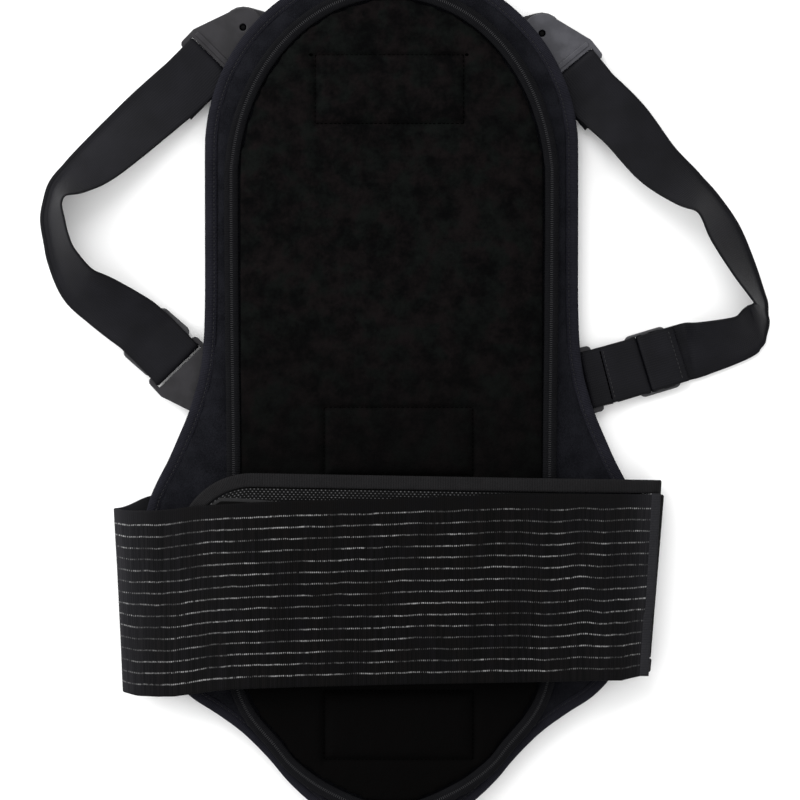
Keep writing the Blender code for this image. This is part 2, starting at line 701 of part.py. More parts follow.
def make_left_strap(anchors, material, parts):
    upper = anchors["upper_left"]
    lower = anchors["lower_left"]
    upper_across = inner_across(upper, lower)
    lower_across = inner_across(lower, upper)
    slider_end = SLIDER_OFFSET_LEFT + slider_length()
    lead_in = {"spot": upper["slot"] + upper["out"] * (ANCHOR_BAR * 4), "bank": 0, "roll": 0, "edge": 1.0}
    lead_out = {"spot": lower["slot"] + lower["out"] * (slider_end + ANCHOR_BAR),
                "bank": 0, "roll": 0, "edge": 1.0}
    rings = axis_rings(upper, upper_across, upper_end_path(), 1)
    rings += free_rings(upper, lower, LEFT_STRAP, STRAP_REACH_LEFT, -1, lead_in, lead_out)
    tail = [(slider_end, STRAP_UPPER_LEVEL), (ANCHOR_SLOT / 2 + ANCHOR_BAR, STRAP_UPPER_LEVEL)]
    tail += turn_path(0, 1, STRAP_UPPER_LEVEL, STRAP_LOWER_LEVEL)
    tail.append((slider_end - SLIDER_BAR, STRAP_LOWER_LEVEL))
    rings += axis_rings(lower, lower_across, tail, -1)
    return loft("shoulder_strap_left", rings, material, parts)


def make_right_strap(anchors, material, parts):
    upper = anchors["upper_right"]
    lower = anchors["lower_right"]
    upper_across = inner_across(upper, lower)
    lower_across = inner_across(lower, upper)
    slider_end = SLIDER_OFFSET_RIGHT + slider_length()
    lead_in = {"spot": upper["slot"] + upper["out"] * (ANCHOR_BAR * 4), "bank": 0, "roll": 0, "edge": 1.0}
    lead_out = {"spot": lower["slot"] + lower["out"] * (slider_end + 2 * STITCHED_END),
                "bank": 0, "roll": 0, "edge": 0.0}
    rings = axis_rings(upper, upper_across, upper_end_path(), 1)
    rings += free_rings(upper, lower, RIGHT_STRAP, STRAP_REACH_RIGHT, 1, lead_in, lead_out)
    turn_place = SLIDER_OFFSET_RIGHT + SLIDER_BAR + SLIDER_NEAR_SLOT - STRAP_TURN_RADIUS
    resting = STRAP_LOWER_LEVEL + STRAP_THICKNESS + SLIDE_GAP
    tail = [(slider_end, STRAP_LOWER_LEVEL)]
    tail += turn_path(turn_place, 1, STRAP_LOWER_LEVEL, STRAP_UPPER_LEVEL)
    tail += [(slider_end + SLIDE_GAP, STRAP_UPPER_LEVEL),
             (slider_end + STITCHED_END, (STRAP_UPPER_LEVEL + resting) / 2)]
    rings += axis_rings(lower, lower_across, tail, -1)
    return loft("shoulder_strap_right", rings, material, parts)


# Short webbing loop between the lower right anchor's bar and the slider's near bar
def make_anchor_strap(anchors, material, parts):
    lower = anchors["lower_right"]
    across = inner_across(lower, anchors["upper_right"])
    far = SLIDER_OFFSET_RIGHT + SLIDER_BAR + STRAP_TURN_RADIUS
    middle = SLIDER_OFFSET_RIGHT / 2
    path = [(middle + GAP * 3, STRAP_LOWER_LEVEL)]
    path += turn_path(far, -1, STRAP_LOWER_LEVEL, STRAP_UPPER_LEVEL)
    path += turn_path(0, 1, STRAP_UPPER_LEVEL, STRAP_LOWER_LEVEL)
    path.append((middle - GAP * 3, STRAP_LOWER_LEVEL))
    return loft("anchor_strap_right", axis_rings(lower, across, path, 1), material, parts)


def slider_length():
    return 3 * SLIDER_BAR + SLIDER_NEAR_SLOT + SLIDER_FAR_SLOT


# Three-bar slider lying flat on an anchor's axis, its near bar at the given distance
def make_slider(name, anchor, offset, material, parts):
    length = slider_length()
    opening = STRAP_WIDTH + 2 * SLIDE_GAP
    width = opening + 2 * SLIDER_RAIL
    near = offset + SLIDER_BAR + SLIDER_NEAR_SLOT / 2
    far = offset + 2 * SLIDER_BAR + SLIDER_NEAR_SLOT + SLIDER_FAR_SLOT / 2
    frame = rounded_box(0, offset + length / 2, width, length, SLIDER_CORNER, 2)
    near_slot = rounded_box(0, near, opening, SLIDER_NEAR_SLOT, SLIDER_CORNER * 0.4, 1)
    far_slot = rounded_box(0, far, opening, SLIDER_FAR_SLOT, SLIDER_CORNER * 0.4, 1)
    outlines = [from_anchor(anchor, outline) for outline in (frame, near_slot, far_slot)]
    return flat_solid(name, outlines, ANCHOR_BASE, ANCHOR_TOP, 0.0, material, parts)


# Height of the middle of the under-belt over the panel, at a distance from the middle line
def crown_height(x):
    side = PANEL_TOP_LEVEL + BELT_SIDE_LIFT + UNDER_BINDING_THICKNESS / 2
    crown = PAD_TOP_LEVEL + WAIST_SLACK + UNDER_BINDING_THICKNESS / 2
    way = min(abs(x) / HIP_HALF, 1.0)
    for inner, outer in zip(BELT_CROWN, BELT_CROWN[1:]):
        if inner["way"] <= way <= outer["way"]:
            share = (way - inner["way"]) / (outer["way"] - inner["way"])
            smooth = share * share * (3 - 2 * share) * 0.25 + share * 0.75
            rise = inner["rise"] + (outer["rise"] - inner["rise"]) * smooth
            return side + (crown - side) * rise
    return side


# Points (x, z) of the crown between two x values
def crown_path(start, end, lift, steps):
    points = []
    for step in range(steps + 1):
        x = start + (end - start) * step / steps
        points.append((x, crown_height(x) + lift))
    return points


# Rings of a belt across the part: path points (x, z) with the height of the belt's middle (y)
def belt_rings(path, middles, half_widths, thickness):
    rings = []
    for index, (x, z) in enumerate(path):
        before = path[max(index - 1, 0)]
        after = path[min(index + 1, len(path) - 1)]
        along = Vector((after[0] - before[0], 0, after[1] - before[1])).normalized()
        normal = Vector((-along.z, 0, along.x)) * (thickness / 2)
        low = Vector((x, middles[index] - half_widths[index], z))
        high = Vector((x, middles[index] + half_widths[index], z))
        rings.append([low + normal, high + normal, high - normal, low - normal])
    return rings


# Striped elastic: sewn under the left hip, folded round it and laid across the front
def make_elastic(material, parts):
    lift = UNDER_BINDING_THICKNESS / 2 + SLIDE_GAP + ELASTIC_THICKNESS / 2
    front_side = crown_height(HIP_HALF) + lift
    back_side = PANEL_BASE - SLIDE_GAP - ELASTIC_THICKNESS / 2
    radius = (front_side - back_side) / 2
    fold_x = -HIP_HALF - LEFT_FOLD_OVERHANG
    path = [(-HIP_HALF + BELT_ROOT, back_side), (-HIP_HALF, back_side)]
    path += arc(fold_x, back_side + radius, radius, 270, 90, 8)
    path += crown_path(-HIP_HALF, ELASTIC_END, lift, 22)
    middles = []
    for index, (x, z) in enumerate(path):
        share = (x - fold_x) / (ELASTIC_END - fold_x)
        middle = ELASTIC_LEFT_Y + (ELASTIC_RIGHT_Y - ELASTIC_LEFT_Y) * share
        if index < 2:
            middle = ELASTIC_LEFT_Y + ELASTIC_ROOT_RISE * (1 - 0.8 * index)
        middles.append(middle)
    rings = belt_rings(path, middles, [ELASTIC_WIDTH / 2] * len(path), ELASTIC_THICKNESS)
    return loft("elastic_belt", rings, material, parts)


# Path of the mesh wing from its rounded tip, over the pad and round the right hip
def under_belt_path():
    front_side = crown_height(HIP_HALF)
    back_side = PANEL_BASE - SLIDE_GAP - UNDER_BINDING_THICKNESS / 2
    radius = (front_side - back_side) / 2
    fold_x = HIP_HALF + RIGHT_FOLD_OVERHANG
    path = crown_path(-UNDER_BELT_TIP, HIP_HALF, 0.0, 24)
    path += arc(fold_x, back_side + radius, radius, 90, -90, 8)
    path += [(HIP_HALF, back_side), (HIP_HALF - BELT_ROOT, back_side)]
    return path


# Finds the point, direction and normal of a path (x, z) at a distance from its start
def walk(path, distance):
    left = distance
    for first, second in zip(path, path[1:]):
        start = Vector((first[0], 0, first[1]))
        step = Vector((second[0] - first[0], 0, second[1] - first[1]))
        if left <= step.length or second == path[-1]:
            along = step.normalized()
            return start + along * left, Vector((-along.z, 0, along.x))
        left -= step.length
    return start, Vector((0, 0, 1))


def path_length(path):
    return sum(math.dist(first, second) for first, second in zip(path, path[1:]))


def under_belt_middle(distance, whole):
    return UNDER_BELT_LEFT_Y + (UNDER_BELT_RIGHT_Y - UNDER_BELT_LEFT_Y) * distance / whole


# Half width of a wing with rounded corners, at a distance from its tip
def rounded_half(distance, half_width, corner):
    if distance >= corner:
        return half_width
    across = corner - distance
    return half_width - corner + math.sqrt(max(corner * corner - across * across, 0.0))


def make_under_belt(mesh_material, tape_material, parts):
    path = under_belt_path()
    whole = path_length(path)
    half = UNDER_BELT_WIDTH / 2
    field_half = half - UNDER_BINDING_WIDTH - SLIDE_GAP
    field_corner = UNDER_BELT_CORNER - UNDER_BINDING_WIDTH - SLIDE_GAP
    start = UNDER_BINDING_WIDTH + SLIDE_GAP
    rings = []
    distances = [start + field_corner * (1 - math.cos(math.radians(turned))) for turned in range(0, 90, 15)]
    walked = 0.0
    for first, second in zip(path, path[1:]):
        walked += math.dist(first, second)
        if walked > start + field_corner * 1.05:
            distances.append(walked)
    for distance in distances:
        spot, normal = walk(path, distance)
        middle = under_belt_middle(distance, whole)
        field = rounded_half(distance - start, field_half, field_corner)
        lift = normal * (UNDER_BELT_THICKNESS / 2)
        low = spot + Vector((0, middle - field, 0))
        high = spot + Vector((0, middle + field, 0))
        rings.append([low + lift, high + lift, high - lift, low - lift])
    loft("under_belt", rings, mesh_material, parts)

    # The tape runs out along one edge, round the tip and back along the other edge
    centre = UNDER_BELT_CORNER - UNDER_BINDING_WIDTH / 2
    corner_x = UNDER_BELT_CORNER
    corner_y = half - UNDER_BELT_CORNER
    upper_run = [(distance, half - UNDER_BINDING_WIDTH / 2) for distance in reversed(distances)
                 if distance > corner_x * 1.1]
    route = [(distance, y, 0.0, 1.0) for distance, y in upper_run]
    for x, y in arc(corner_x, corner_y, centre, 90, 180, 8):
        route.append((x, y, (x - corner_x) / centre, (y - corner_y) / centre))
    for x, y in arc(corner_x, -corner_y, centre, 180, 270, 8):
        route.append((x, y, (x - corner_x) / centre, (y + corner_y) / centre))
    route += [(distance, -y, 0.0, -1.0) for distance, y in reversed(upper_run)]
    rings = []
    for distance, y, away_x, away_y in route:
        ring = []
        for side, level in [(1, 1), (1, -1), (-1, -1), (-1, 1)]:
            reach = side * UNDER_BINDING_WIDTH / 2
            edge_distance = distance + away_x * reach
            spot, normal = walk(path, max(edge_distance, 0.0))
            spot = spot + Vector((0, under_belt_middle(edge_distance, whole) + y + away_y * reach, 0))
            ring.append(spot + normal * (level * UNDER_BINDING_THICKNESS / 2))
        rings.append(ring)
    return loft("under_belt_binding", rings, tape_material, parts)


def build():
    parts, cutters = start_scene()
    plastic = make_material("moulded_plastic", PLASTIC_GREY, 0.45)
    shell_plastic = make_material("shell_plastic", PLASTIC_GREY, 0.5)
    panel_cloth = make_material("panel_cloth", CLOTH_BLACK, 0.9)
    fleece = make_material("fleece", CLOTH_BLACK, 1.0)
    tape = make_material("binding_tape", CLOTH_BLACK, 0.85)
    webbing = make_material("webbing", WEB_BLACK, 0.8)
    elastic = make_material("striped_elastic", CLOTH_BLACK, 0.85)
    net = make_material("mesh_cloth", WEB_BLACK, 0.8)
    metal = make_material("rivet_metal", WEB_BLACK, 0.4)

    anchors = place_anchors()
    by_name = {anchor["name"]: anchor for anchor in anchors}
    make_shell(anchors, shell_plastic, parts, cutters)
    make_panel(anchors, panel_cloth, tape, parts, cutters)
    make_pad(fleece, tape, parts, cutters)
    for anchor in anchors:
        make_anchor(anchor, plastic, parts, cutters)
        make_rivet(anchor, metal, parts)
    make_slider("slider_left", by_name["lower_left"], SLIDER_OFFSET_LEFT, plastic, parts)
    make_slider("slider_right", by_name["lower_right"], SLIDER_OFFSET_RIGHT, plastic, parts)
    make_left_strap(by_name, webbing, parts)
    make_right_strap(by_name, webbing, parts)
    make_anchor_strap(by_name, webbing, parts)
    make_elastic(elastic, parts)
    make_under_belt(net, tape, parts)


build()
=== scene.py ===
import math
import random

import bmesh
import bpy
from mathutils import Matrix, Vector, noise
from mathutils.bvhtree import BVHTree
from mathutils.kdtree import KDTree


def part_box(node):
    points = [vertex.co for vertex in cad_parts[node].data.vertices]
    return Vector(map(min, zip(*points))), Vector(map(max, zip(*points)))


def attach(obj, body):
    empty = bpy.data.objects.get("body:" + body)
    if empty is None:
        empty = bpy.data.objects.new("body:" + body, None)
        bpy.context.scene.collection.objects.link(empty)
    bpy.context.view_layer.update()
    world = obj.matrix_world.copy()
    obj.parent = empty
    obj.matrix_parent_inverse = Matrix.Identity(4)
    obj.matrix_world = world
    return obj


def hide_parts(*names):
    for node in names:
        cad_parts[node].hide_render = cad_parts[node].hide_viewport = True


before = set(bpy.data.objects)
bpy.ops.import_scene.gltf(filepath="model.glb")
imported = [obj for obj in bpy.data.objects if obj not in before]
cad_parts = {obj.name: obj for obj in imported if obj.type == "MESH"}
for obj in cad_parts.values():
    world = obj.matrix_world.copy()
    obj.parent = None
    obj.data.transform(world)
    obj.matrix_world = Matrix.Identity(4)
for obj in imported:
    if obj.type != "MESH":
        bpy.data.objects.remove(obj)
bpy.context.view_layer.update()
random.seed(7)

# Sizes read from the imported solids
shell_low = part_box("back_shell")[0]
panel_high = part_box("back_panel")[1]
panel_tape_low, panel_tape_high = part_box("back_panel_binding")
pad_low, pad_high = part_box("inner_pad")
pad_tape_low, pad_tape_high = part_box("inner_pad_binding")
anchor_low, anchor_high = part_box("strap_anchor_lower_left")

HIP_HALF = panel_tape_high.x
PANEL_TOP = panel_tape_high.y
PAD_HALF = pad_tape_high.x
PAD_TOP = pad_tape_high.y
PAD_BOTTOM = pad_tape_low.y
ANCHOR_BASE = anchor_low.z
ANCHOR_TOP = anchor_high.z
PANEL_TOP_LEVEL = panel_high.z
PAD_BASE = pad_low.z
PAD_TOP_LEVEL = pad_high.z

# Sizes of the real pieces
UPPER_HALF = 0.1235
ARCH_Y = PANEL_TOP - UPPER_HALF
SIDE_LENGTH = 2 * PANEL_TOP - UPPER_HALF
PANEL_TAPE_WIDTH = 0.0085
PANEL_SEAM_INSET = 0.0020
PAD_TAPE_WIDTH = 0.0092
PAD_ARCH_HEIGHT = 0.1315
PAD_ARCH_Y = PAD_TOP - PAD_ARCH_HEIGHT
PAD_SIDE_LENGTH = PAD_ARCH_Y - PAD_BOTTOM
PATCH_LENGTH = 0.098
PATCH_WIDTH = 0.0455
SEAM_STITCH = 0.0030
SEAM_HOLLOW = 0.0011
SEAM_GROOVE = 0.0018
PATCH_CUSHION = 0.0009
PAD_SQUASH = 0.72

SWELL_FRAMES = 16
SWELL_PRESSURE = 4.0
PANEL_SWELL = 0.0025
PAD_SWELL = 0.0045

STRAP_WIDTH = 0.038
STRAP_THICKNESS = 0.0016
STRAP_REACH_LEFT = 0.093
STRAP_REACH_RIGHT = 0.118
TURN_RADIUS = 0.002
SEWN_BACK_LENGTH = 0.030
SLIDE_GAP = 0.0004
STRAP_UPPER_LEVEL = ANCHOR_TOP + SLIDE_GAP + STRAP_THICKNESS / 2
STRAP_LOWER_LEVEL = ANCHOR_BASE - SLIDE_GAP - STRAP_THICKNESS / 2
PANEL_BASE = STRAP_UPPER_LEVEL + STRAP_THICKNESS / 2 + SLIDE_GAP

# Widths of the outer margins, which lie level beside the fold where a shoulder strap stands
LEFT_MARGIN = 0.0047
RIGHT_MARGIN = 0.0028

ANCHOR_REACH = 0.0293
ANCHOR_END_RADIUS = 0.0132
ANCHOR_RIM = 0.0030
ANCHOR_BAR = 0.0060
ANCHOR_SLOT = 0.0048
ANCHOR_CORNER = 0.003
LIP_WIDTH = 0.0036
LIP_HEIGHT = 0.0008
RIVET_HOLE = 0.0046
RIVET_HEAD = 0.008

SLIDER_BAR = 0.0045
SLIDER_NEAR_SLOT = 0.008
SLIDER_FAR_SLOT = 0.0075
SLIDER_WIDTH = 0.042
SLIDER_LENGTH = 3 * SLIDER_BAR + SLIDER_NEAR_SLOT + SLIDER_FAR_SLOT
SLIDER_OFFSET_LEFT = 0.0095
SLIDER_OFFSET_RIGHT = 0.0319
STITCHED_END = 0.005
LOOP_SEAM = 0.0150
LOOP_STEP = 0.0011

ELASTIC_WIDTH = 0.122
ELASTIC_THICKNESS = 0.002
ELASTIC_END = 0.1765
STRIPE_COUNT = 15
STRIPED_WIDTH = ELASTIC_WIDTH - 0.0175
PLAIN_UPPER_EDGE = 0.0096
END_TAPE_WIDTH = 0.0062
WING_WIDTH = 0.127
WING_THICKNESS = 0.0016
WING_TAPE_WIDTH = 0.0092
WING_TAPE_THICKNESS = 0.0026
WING_CORNER = 0.052
WING_TIP = 0.142
NET_START = WING_TAPE_WIDTH + SLIDE_GAP
NET_HALF = WING_WIDTH / 2 - NET_START
NET_CORNER = WING_CORNER - NET_START
FASTENER_REACH = 0.047
FASTENER_START = 0.0125
FASTENER_LENGTH = 0.072
WING_LEFT_Y = -0.1086
WING_RIGHT_Y = -0.1152
LEFT_FOLD_OVERHANG = 0.0084
RIGHT_FOLD_OVERHANG = 0.0052
LEFT_FOLD_LEAN = 0.0060
RIGHT_FOLD_LEAN = 0.0075
END_TAPE_LEAN = 0.0034
END_TAPE_NOTCH = 0.0038
BELT_ROOT = 0.030
BELT_SIDE_LEVEL = PANEL_TOP_LEVEL + 0.0035 + WING_TAPE_THICKNESS / 2
BELT_CROWN_LEVEL = PAD_TOP_LEVEL + 0.009 + WING_TAPE_THICKNESS / 2

# The panel's flank below its arch: drop down the side, and share of the flare to the hips
FLANK = [
    {"drop": 0.119, "flare": 0.00},
    {"drop": 0.220, "flare": 0.00},
    {"drop": 0.284, "flare": 0.025},
    {"drop": 0.324, "flare": 0.08},
    {"drop": 0.359, "flare": 0.18},
    {"drop": 0.384, "flare": 0.27},
    {"drop": 0.413, "flare": 0.40},
    {"drop": 0.449, "flare": 0.57},
    {"drop": 0.477, "flare": 0.725},
    {"drop": 0.506, "flare": 0.855},
    {"drop": 0.549, "flare": 0.96},
    {"drop": 0.599, "flare": 1.00},
]

# The panel's tail below the hips: drop down the side, and share of the half hip width
TAIL = [
    {"drop": 0.663, "half": 0.992},
    {"drop": 0.714, "half": 0.950},
    {"drop": 0.757, "half": 0.880},
    {"drop": 0.788, "half": 0.800},
    {"drop": 0.814, "half": 0.690},
    {"drop": 0.842, "half": 0.586},
    {"drop": 0.878, "half": 0.487},
    {"drop": 0.907, "half": 0.420},
    {"drop": 0.934, "half": 0.343},
    {"drop": 0.957, "half": 0.260},
    {"drop": 0.980, "half": 0.166},
    {"drop": 0.995, "half": 0.080},
]

# The pad's side below its arch: drop down the side, and share of its half width
PAD_SIDE = [
    {"drop": 0.22, "half": 0.995},
    {"drop": 0.45, "half": 0.985},
    {"drop": 0.66, "half": 0.990},
    {"drop": 0.75, "half": 0.990},
    {"drop": 0.797, "half": 0.963},
    {"drop": 0.844, "half": 0.880},
    {"drop": 0.891, "half": 0.730},
    {"drop": 0.923, "half": 0.630},
    {"drop": 0.954, "half": 0.480},
    {"drop": 0.978, "half": 0.310},
    {"drop": 0.994, "half": 0.150},
]

# Shoulder straps: way along the line between the slots, share of the reach out of that line, bank of
# the ribbon, height of its outer edge between the lower and upper level, and skew of its cross line
LEFT_STRAP = [
    {"along": 0.198, "out": 0.384, "bank": 10, "edge": 0.90},
    {"along": 0.281, "out": 0.548, "bank": 20, "edge": 0.60},
    {"along": 0.368, "out": 0.724, "bank": 32, "edge": 0.30},
    {"along": 0.423, "out": 0.855, "bank": 48, "edge": 0.10},
    {"along": 0.466, "out": 0.966, "bank": 66, "edge": 0.00},
    {"along": 0.510, "out": 1.000, "bank": 72, "edge": 0.00},
    {"along": 0.564, "out": 0.994, "bank": 66, "edge": 0.00},
    {"along": 0.630, "out": 0.951, "bank": 64, "edge": 0.00},
    {"along": 0.689, "out": 0.896, "bank": 58, "edge": 0.00},
    {"along": 0.770, "out": 0.763, "bank": 43, "edge": 0.10},
    {"along": 0.817, "out": 0.583, "bank": 26, "edge": 0.45},
]

RIGHT_STRAP = [
    {"along": 0.188, "out": 0.284, "bank": 14, "edge": 0.90},
    {"along": 0.316, "out": 0.449, "bank": 28, "edge": 0.60},
    {"along": 0.400, "out": 0.610, "bank": 44, "edge": 0.20},
    {"along": 0.455, "out": 0.725, "bank": 60, "edge": 0.00},
    {"along": 0.551, "out": 0.816, "bank": 54, "edge": 0.00},
    {"along": 0.671, "out": 0.912, "bank": 63, "edge": 0.00},
    {"along": 0.774, "out": 0.992, "bank": 76, "edge": 0.00},
    {"along": 0.794, "out": 0.993, "bank": 70, "edge": 0.00, "skew": 30},
    {"along": 0.817, "out": 0.990, "bank": 60, "edge": 0.00, "skew": 38},
    {"along": 0.838, "out": 0.974, "bank": 48, "edge": 0.00, "skew": 34},
    {"along": 0.853, "out": 0.953, "bank": 38, "edge": 0.00, "skew": 26},
    {"along": 0.885, "out": 0.873, "bank": 40, "edge": 0.00, "skew": 7},
    {"along": 0.911, "out": 0.667, "bank": 22, "edge": 0.10},
]

# Where each strap anchor's rivet is, which way its slot points, and the slot's near and far edge
ANCHORS = {
    "upper_left": {"arch_turn": 140.5, "outset": 0.0041, "heading": 225.0, "near": -0.0008, "far": 0.0012},
    "upper_right": {"arch_turn": 37.7, "outset": 0.0026, "heading": -50.4, "near": -0.0008, "far": 0.0012},
    "lower_left": {"side": -1, "drop": 0.360, "inset": 0.0114, "heading": 134.0,
                   "near": -0.0003, "far": 0.0030},
    "lower_right": {"side": 1, "drop": 0.348, "inset": 0.0301, "heading": 13.1,
                    "near": -0.0016, "far": 0.0012},
}

# Sliders: the anchor whose line each one lies on, where it is turned about that line's point and by how
# many degrees, where it starts, how wide its openings are and how long it is
SLIDERS = {
    "slider_left": {"anchor": "lower_left", "along": 0.0229, "beside": -0.0004, "turn": 4.8,
                    "start": SLIDER_OFFSET_LEFT + 0.0004, "opening": STRAP_WIDTH - 0.008,
                    "length": SLIDER_LENGTH - 0.0030},
    "slider_right": {"anchor": "lower_right", "along": 0.0464, "beside": 0.0021, "turn": 3.8,
                     "start": SLIDER_OFFSET_RIGHT, "opening": STRAP_WIDTH - 0.0002,
                     "length": SLIDER_LENGTH},
}

# Middles of the stitched rectangles
PATCHES = [
    {"x": -0.0013, "y": 0.2069},
    {"x": 0.0046, "y": -0.0257},
    {"x": 0.0046, "y": -0.2122},
]

# Height of the belts over the pad: share of the way out to the hip, and share of the rise
BELT_CROWN = [
    {"way": 0.00, "rise": 1.00},
    {"way": 0.22, "rise": 0.995},
    {"way": 0.44, "rise": 0.955},
    {"way": 0.62, "rise": 0.80},
    {"way": 0.80, "rise": 0.46},
    {"way": 0.92, "rise": 0.14},
    {"way": 1.00, "rise": 0.00},
]

# Upper and lower edge of the elastic across the front
ELASTIC_EDGES = [
    {"x": -0.1830, "upper": -0.0706, "lower": -0.1922},
    {"x": -0.1720, "upper": -0.0709, "lower": -0.1931},
    {"x": -0.1560, "upper": -0.0708, "lower": -0.1935},
    {"x": -0.1430, "upper": -0.0696, "lower": -0.1932},
    {"x": -0.1310, "upper": -0.0679, "lower": -0.1914},
    {"x": -0.1180, "upper": -0.0669, "lower": -0.1894},
    {"x": -0.1050, "upper": -0.0660, "lower": -0.1880},
    {"x": -0.0900, "upper": -0.0651, "lower": -0.1874},
    {"x": -0.0604, "upper": -0.0639, "lower": -0.1864},
    {"x": -0.0010, "upper": -0.0627, "lower": -0.1848},
    {"x": 0.0716, "upper": -0.0598, "lower": -0.1835},
    {"x": 0.1376, "upper": -0.0598, "lower": -0.1826},
    {"x": 0.1560, "upper": -0.0600, "lower": -0.1829},
    {"x": 0.1765, "upper": -0.0601, "lower": -0.1790},
]

# Shallow waves of the elastic's ribs near the right hip
ELASTIC_WAVES = [
    {"x": 0.102, "reach": 0.013, "rise": -0.0010},
    {"x": 0.1245, "reach": 0.008, "rise": 0.0006},
    {"x": 0.139, "reach": 0.008, "rise": -0.0008},
    {"x": 0.160, "reach": 0.012, "rise": 0.0004},
]


# Reads a table's column at a place along its first column, straight between rows
def read_table(rows, key, place, column):
    for first, second in zip(rows, rows[1:]):
        if place <= second[key] or second is rows[-1]:
            share = (place - first[key]) / (second[key] - first[key])
            share = min(max(share, 0.0), 1.0)
            return first[column] + (second[column] - first[column]) * share
    return rows[-1][column]


def smoothstep(value, low, high):
    share = min(max((value - low) / (high - low), 0.0), 1.0)
    return share * share * (3 - 2 * share)


# Smooth curve through points of any number of values
def smooth_through(points, steps, closed=False):
    if closed:
        padded = [points[-1]] + list(points) + [points[0], points[1]]
    else:
        padded = [points[0]] + list(points) + [points[-1]]
    result = []
    for index in range(1, len(padded) - 2):
        before, start, end, after = padded[index - 1:index + 3]
        for step in range(steps):
            t = step / steps
            result.append([
                0.5 * (2 * b + (c - a) * t + (2 * a - 5 * b + 4 * c - d) * t * t
                       + (3 * b - a - 3 * c + d) * t * t * t)
                for a, b, c, d in zip(before, start, end, after)
            ])
    if not closed:
        result.append(list(points[-1]))
    return result


# The same path with evenly spaced points. The first values of each point are its place
def evenly(points, spacing, closed=False, place=2):
    run = list(points) + ([points[0]] if closed else [])
    distances = [0.0]
    for first, second in zip(run, run[1:]):
        distances.append(distances[-1] + math.dist(first[:place], second[:place]))
    count = max(int(round(distances[-1] / spacing)), 1)
    result = []
    index = 0
    for step in range(count if closed else count + 1):
        wanted = distances[-1] * step / count
        while index < len(run) - 2 and distances[index + 1] < wanted:
            index += 1
        length = distances[index + 1] - distances[index]
        share = (wanted - distances[index]) / length if length > 0 else 0.0
        result.append([a + (b - a) * share for a, b in zip(run[index], run[index + 1])])
    return result


def arc(centre_x, centre_y, radius, start, end, steps):
    points = []
    for step in range(steps + 1):
        angle = math.radians(start + (end - start) * step / steps)
        points.append((centre_x + radius * math.cos(angle), centre_y + radius * math.sin(angle)))
    return points


# Closed outline from its right half, top first
def mirrored(right_half):
    return list(right_half) + [(-x, y) for x, y in reversed(right_half) if abs(x) > 1e-6]


def panel_outline():
    right = arc(0, ARCH_Y, UPPER_HALF, 90, 0, 15)
    for row in FLANK:
        half = UPPER_HALF + (HIP_HALF - UPPER_HALF) * row["flare"]
        right.append((half, ARCH_Y - row["drop"] * SIDE_LENGTH))
    for row in TAIL:
        right.append((row["half"] * HIP_HALF, ARCH_Y - row["drop"] * SIDE_LENGTH))
    return mirrored(right + [(0.0, -PANEL_TOP)])


def pad_outline():
    arch = arc(0, 0, PAD_HALF, 90, 0, 14)
    right = [(x, PAD_ARCH_Y + y * PAD_ARCH_HEIGHT / PAD_HALF) for x, y in arch]
    for row in PAD_SIDE:
        right.append((row["half"] * PAD_HALF, PAD_ARCH_Y - row["drop"] * PAD_SIDE_LENGTH))
    return mirrored(right + [(0.0, PAD_BOTTOM)])


# Points and outward directions along a closed outline, evenly spaced
def outline_run(outline, spacing):
    points = evenly(smooth_through(outline, 4, closed=True), spacing, closed=True)
    area = sum(a[0] * b[1] - b[0] * a[1] for a, b in zip(points, points[1:] + points[:1]))
    side = 1 if area > 0 else -1
    run = []
    for index, point in enumerate(points):
        before = Vector(points[index - 2])
        after = Vector(points[(index + 2) % len(points)])
        along = (after - before).normalized()
        run.append((Vector((point[0], point[1], 0)), Vector((along.y * side, -along.x * side, 0))))
    return run


# Look-up of a run's nearest point, for how far inside the outline a place is and which way is out
class Nearness:
    def __init__(self, run):
        self.tree = KDTree(len(run))
        for index, (point, outward) in enumerate(run):
            self.tree.insert(point, index)
        self.tree.balance()
        self.run = run

    def outward(self, x, y):
        return self.run[self.tree.find(Vector((x, y, 0)))[1]][1]

    # How far inside the outline a point lies
    def inside(self, x, y):
        spot = Vector((x, y, 0))
        found, index, distance = self.tree.find(spot)
        depth = (found - spot).dot(self.run[index][1])
        return depth if distance < 0.02 else math.copysign(distance, depth)


def new_piece(name, mesh, material, nodes=()):
    piece = bpy.data.objects.new(name, mesh)
    bpy.context.scene.collection.objects.link(piece)
    finish_piece(piece, material, nodes)
    return piece


# Gives a piece its finish, its body and the nodes that it stands for
def finish_piece(piece, material, nodes=()):
    piece.data.materials.clear()
    piece.data.materials.append(material)
    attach(piece, "root")
    if nodes:
        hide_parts(*nodes)


# Mesh skinned over rings of points. It is a flat grid whose points move onto the rings, with a UV map
# of lengths along the rings and values across them
def skin(name, rings, lengths, across, closed=False):
    columns = len(rings) if closed else len(rings) - 1
    rows = len(rings[0])
    body = bmesh.new()
    bmesh.ops.create_grid(body, x_segments=columns, y_segments=rows, size=0.5)
    uv_map = body.loops.layers.uv.new("cloth")
    for face in body.faces:
        for loop in face.loops:
            column = round((loop.vert.co.x + 0.5) * columns)
            row = round((loop.vert.co.y + 0.5) * rows)
            loop[uv_map].uv = (lengths[column], across[row])
    for vertex in body.verts:
        column = round((vertex.co.x + 0.5) * columns) % len(rings)
        row = round((vertex.co.y + 0.5) * rows) % rows
        vertex.co = rings[column][row]
    bmesh.ops.remove_doubles(body, verts=body.verts, dist=2e-6)
    if not closed:
        bmesh.ops.holes_fill(body, edges=[edge for edge in body.edges if edge.is_boundary], sides=0)
    bmesh.ops.recalc_face_normals(body, faces=body.faces)
    for face in body.faces:
        face.smooth = True
    mesh = bpy.data.meshes.new(name)
    body.to_mesh(mesh)
    body.free()
    return mesh


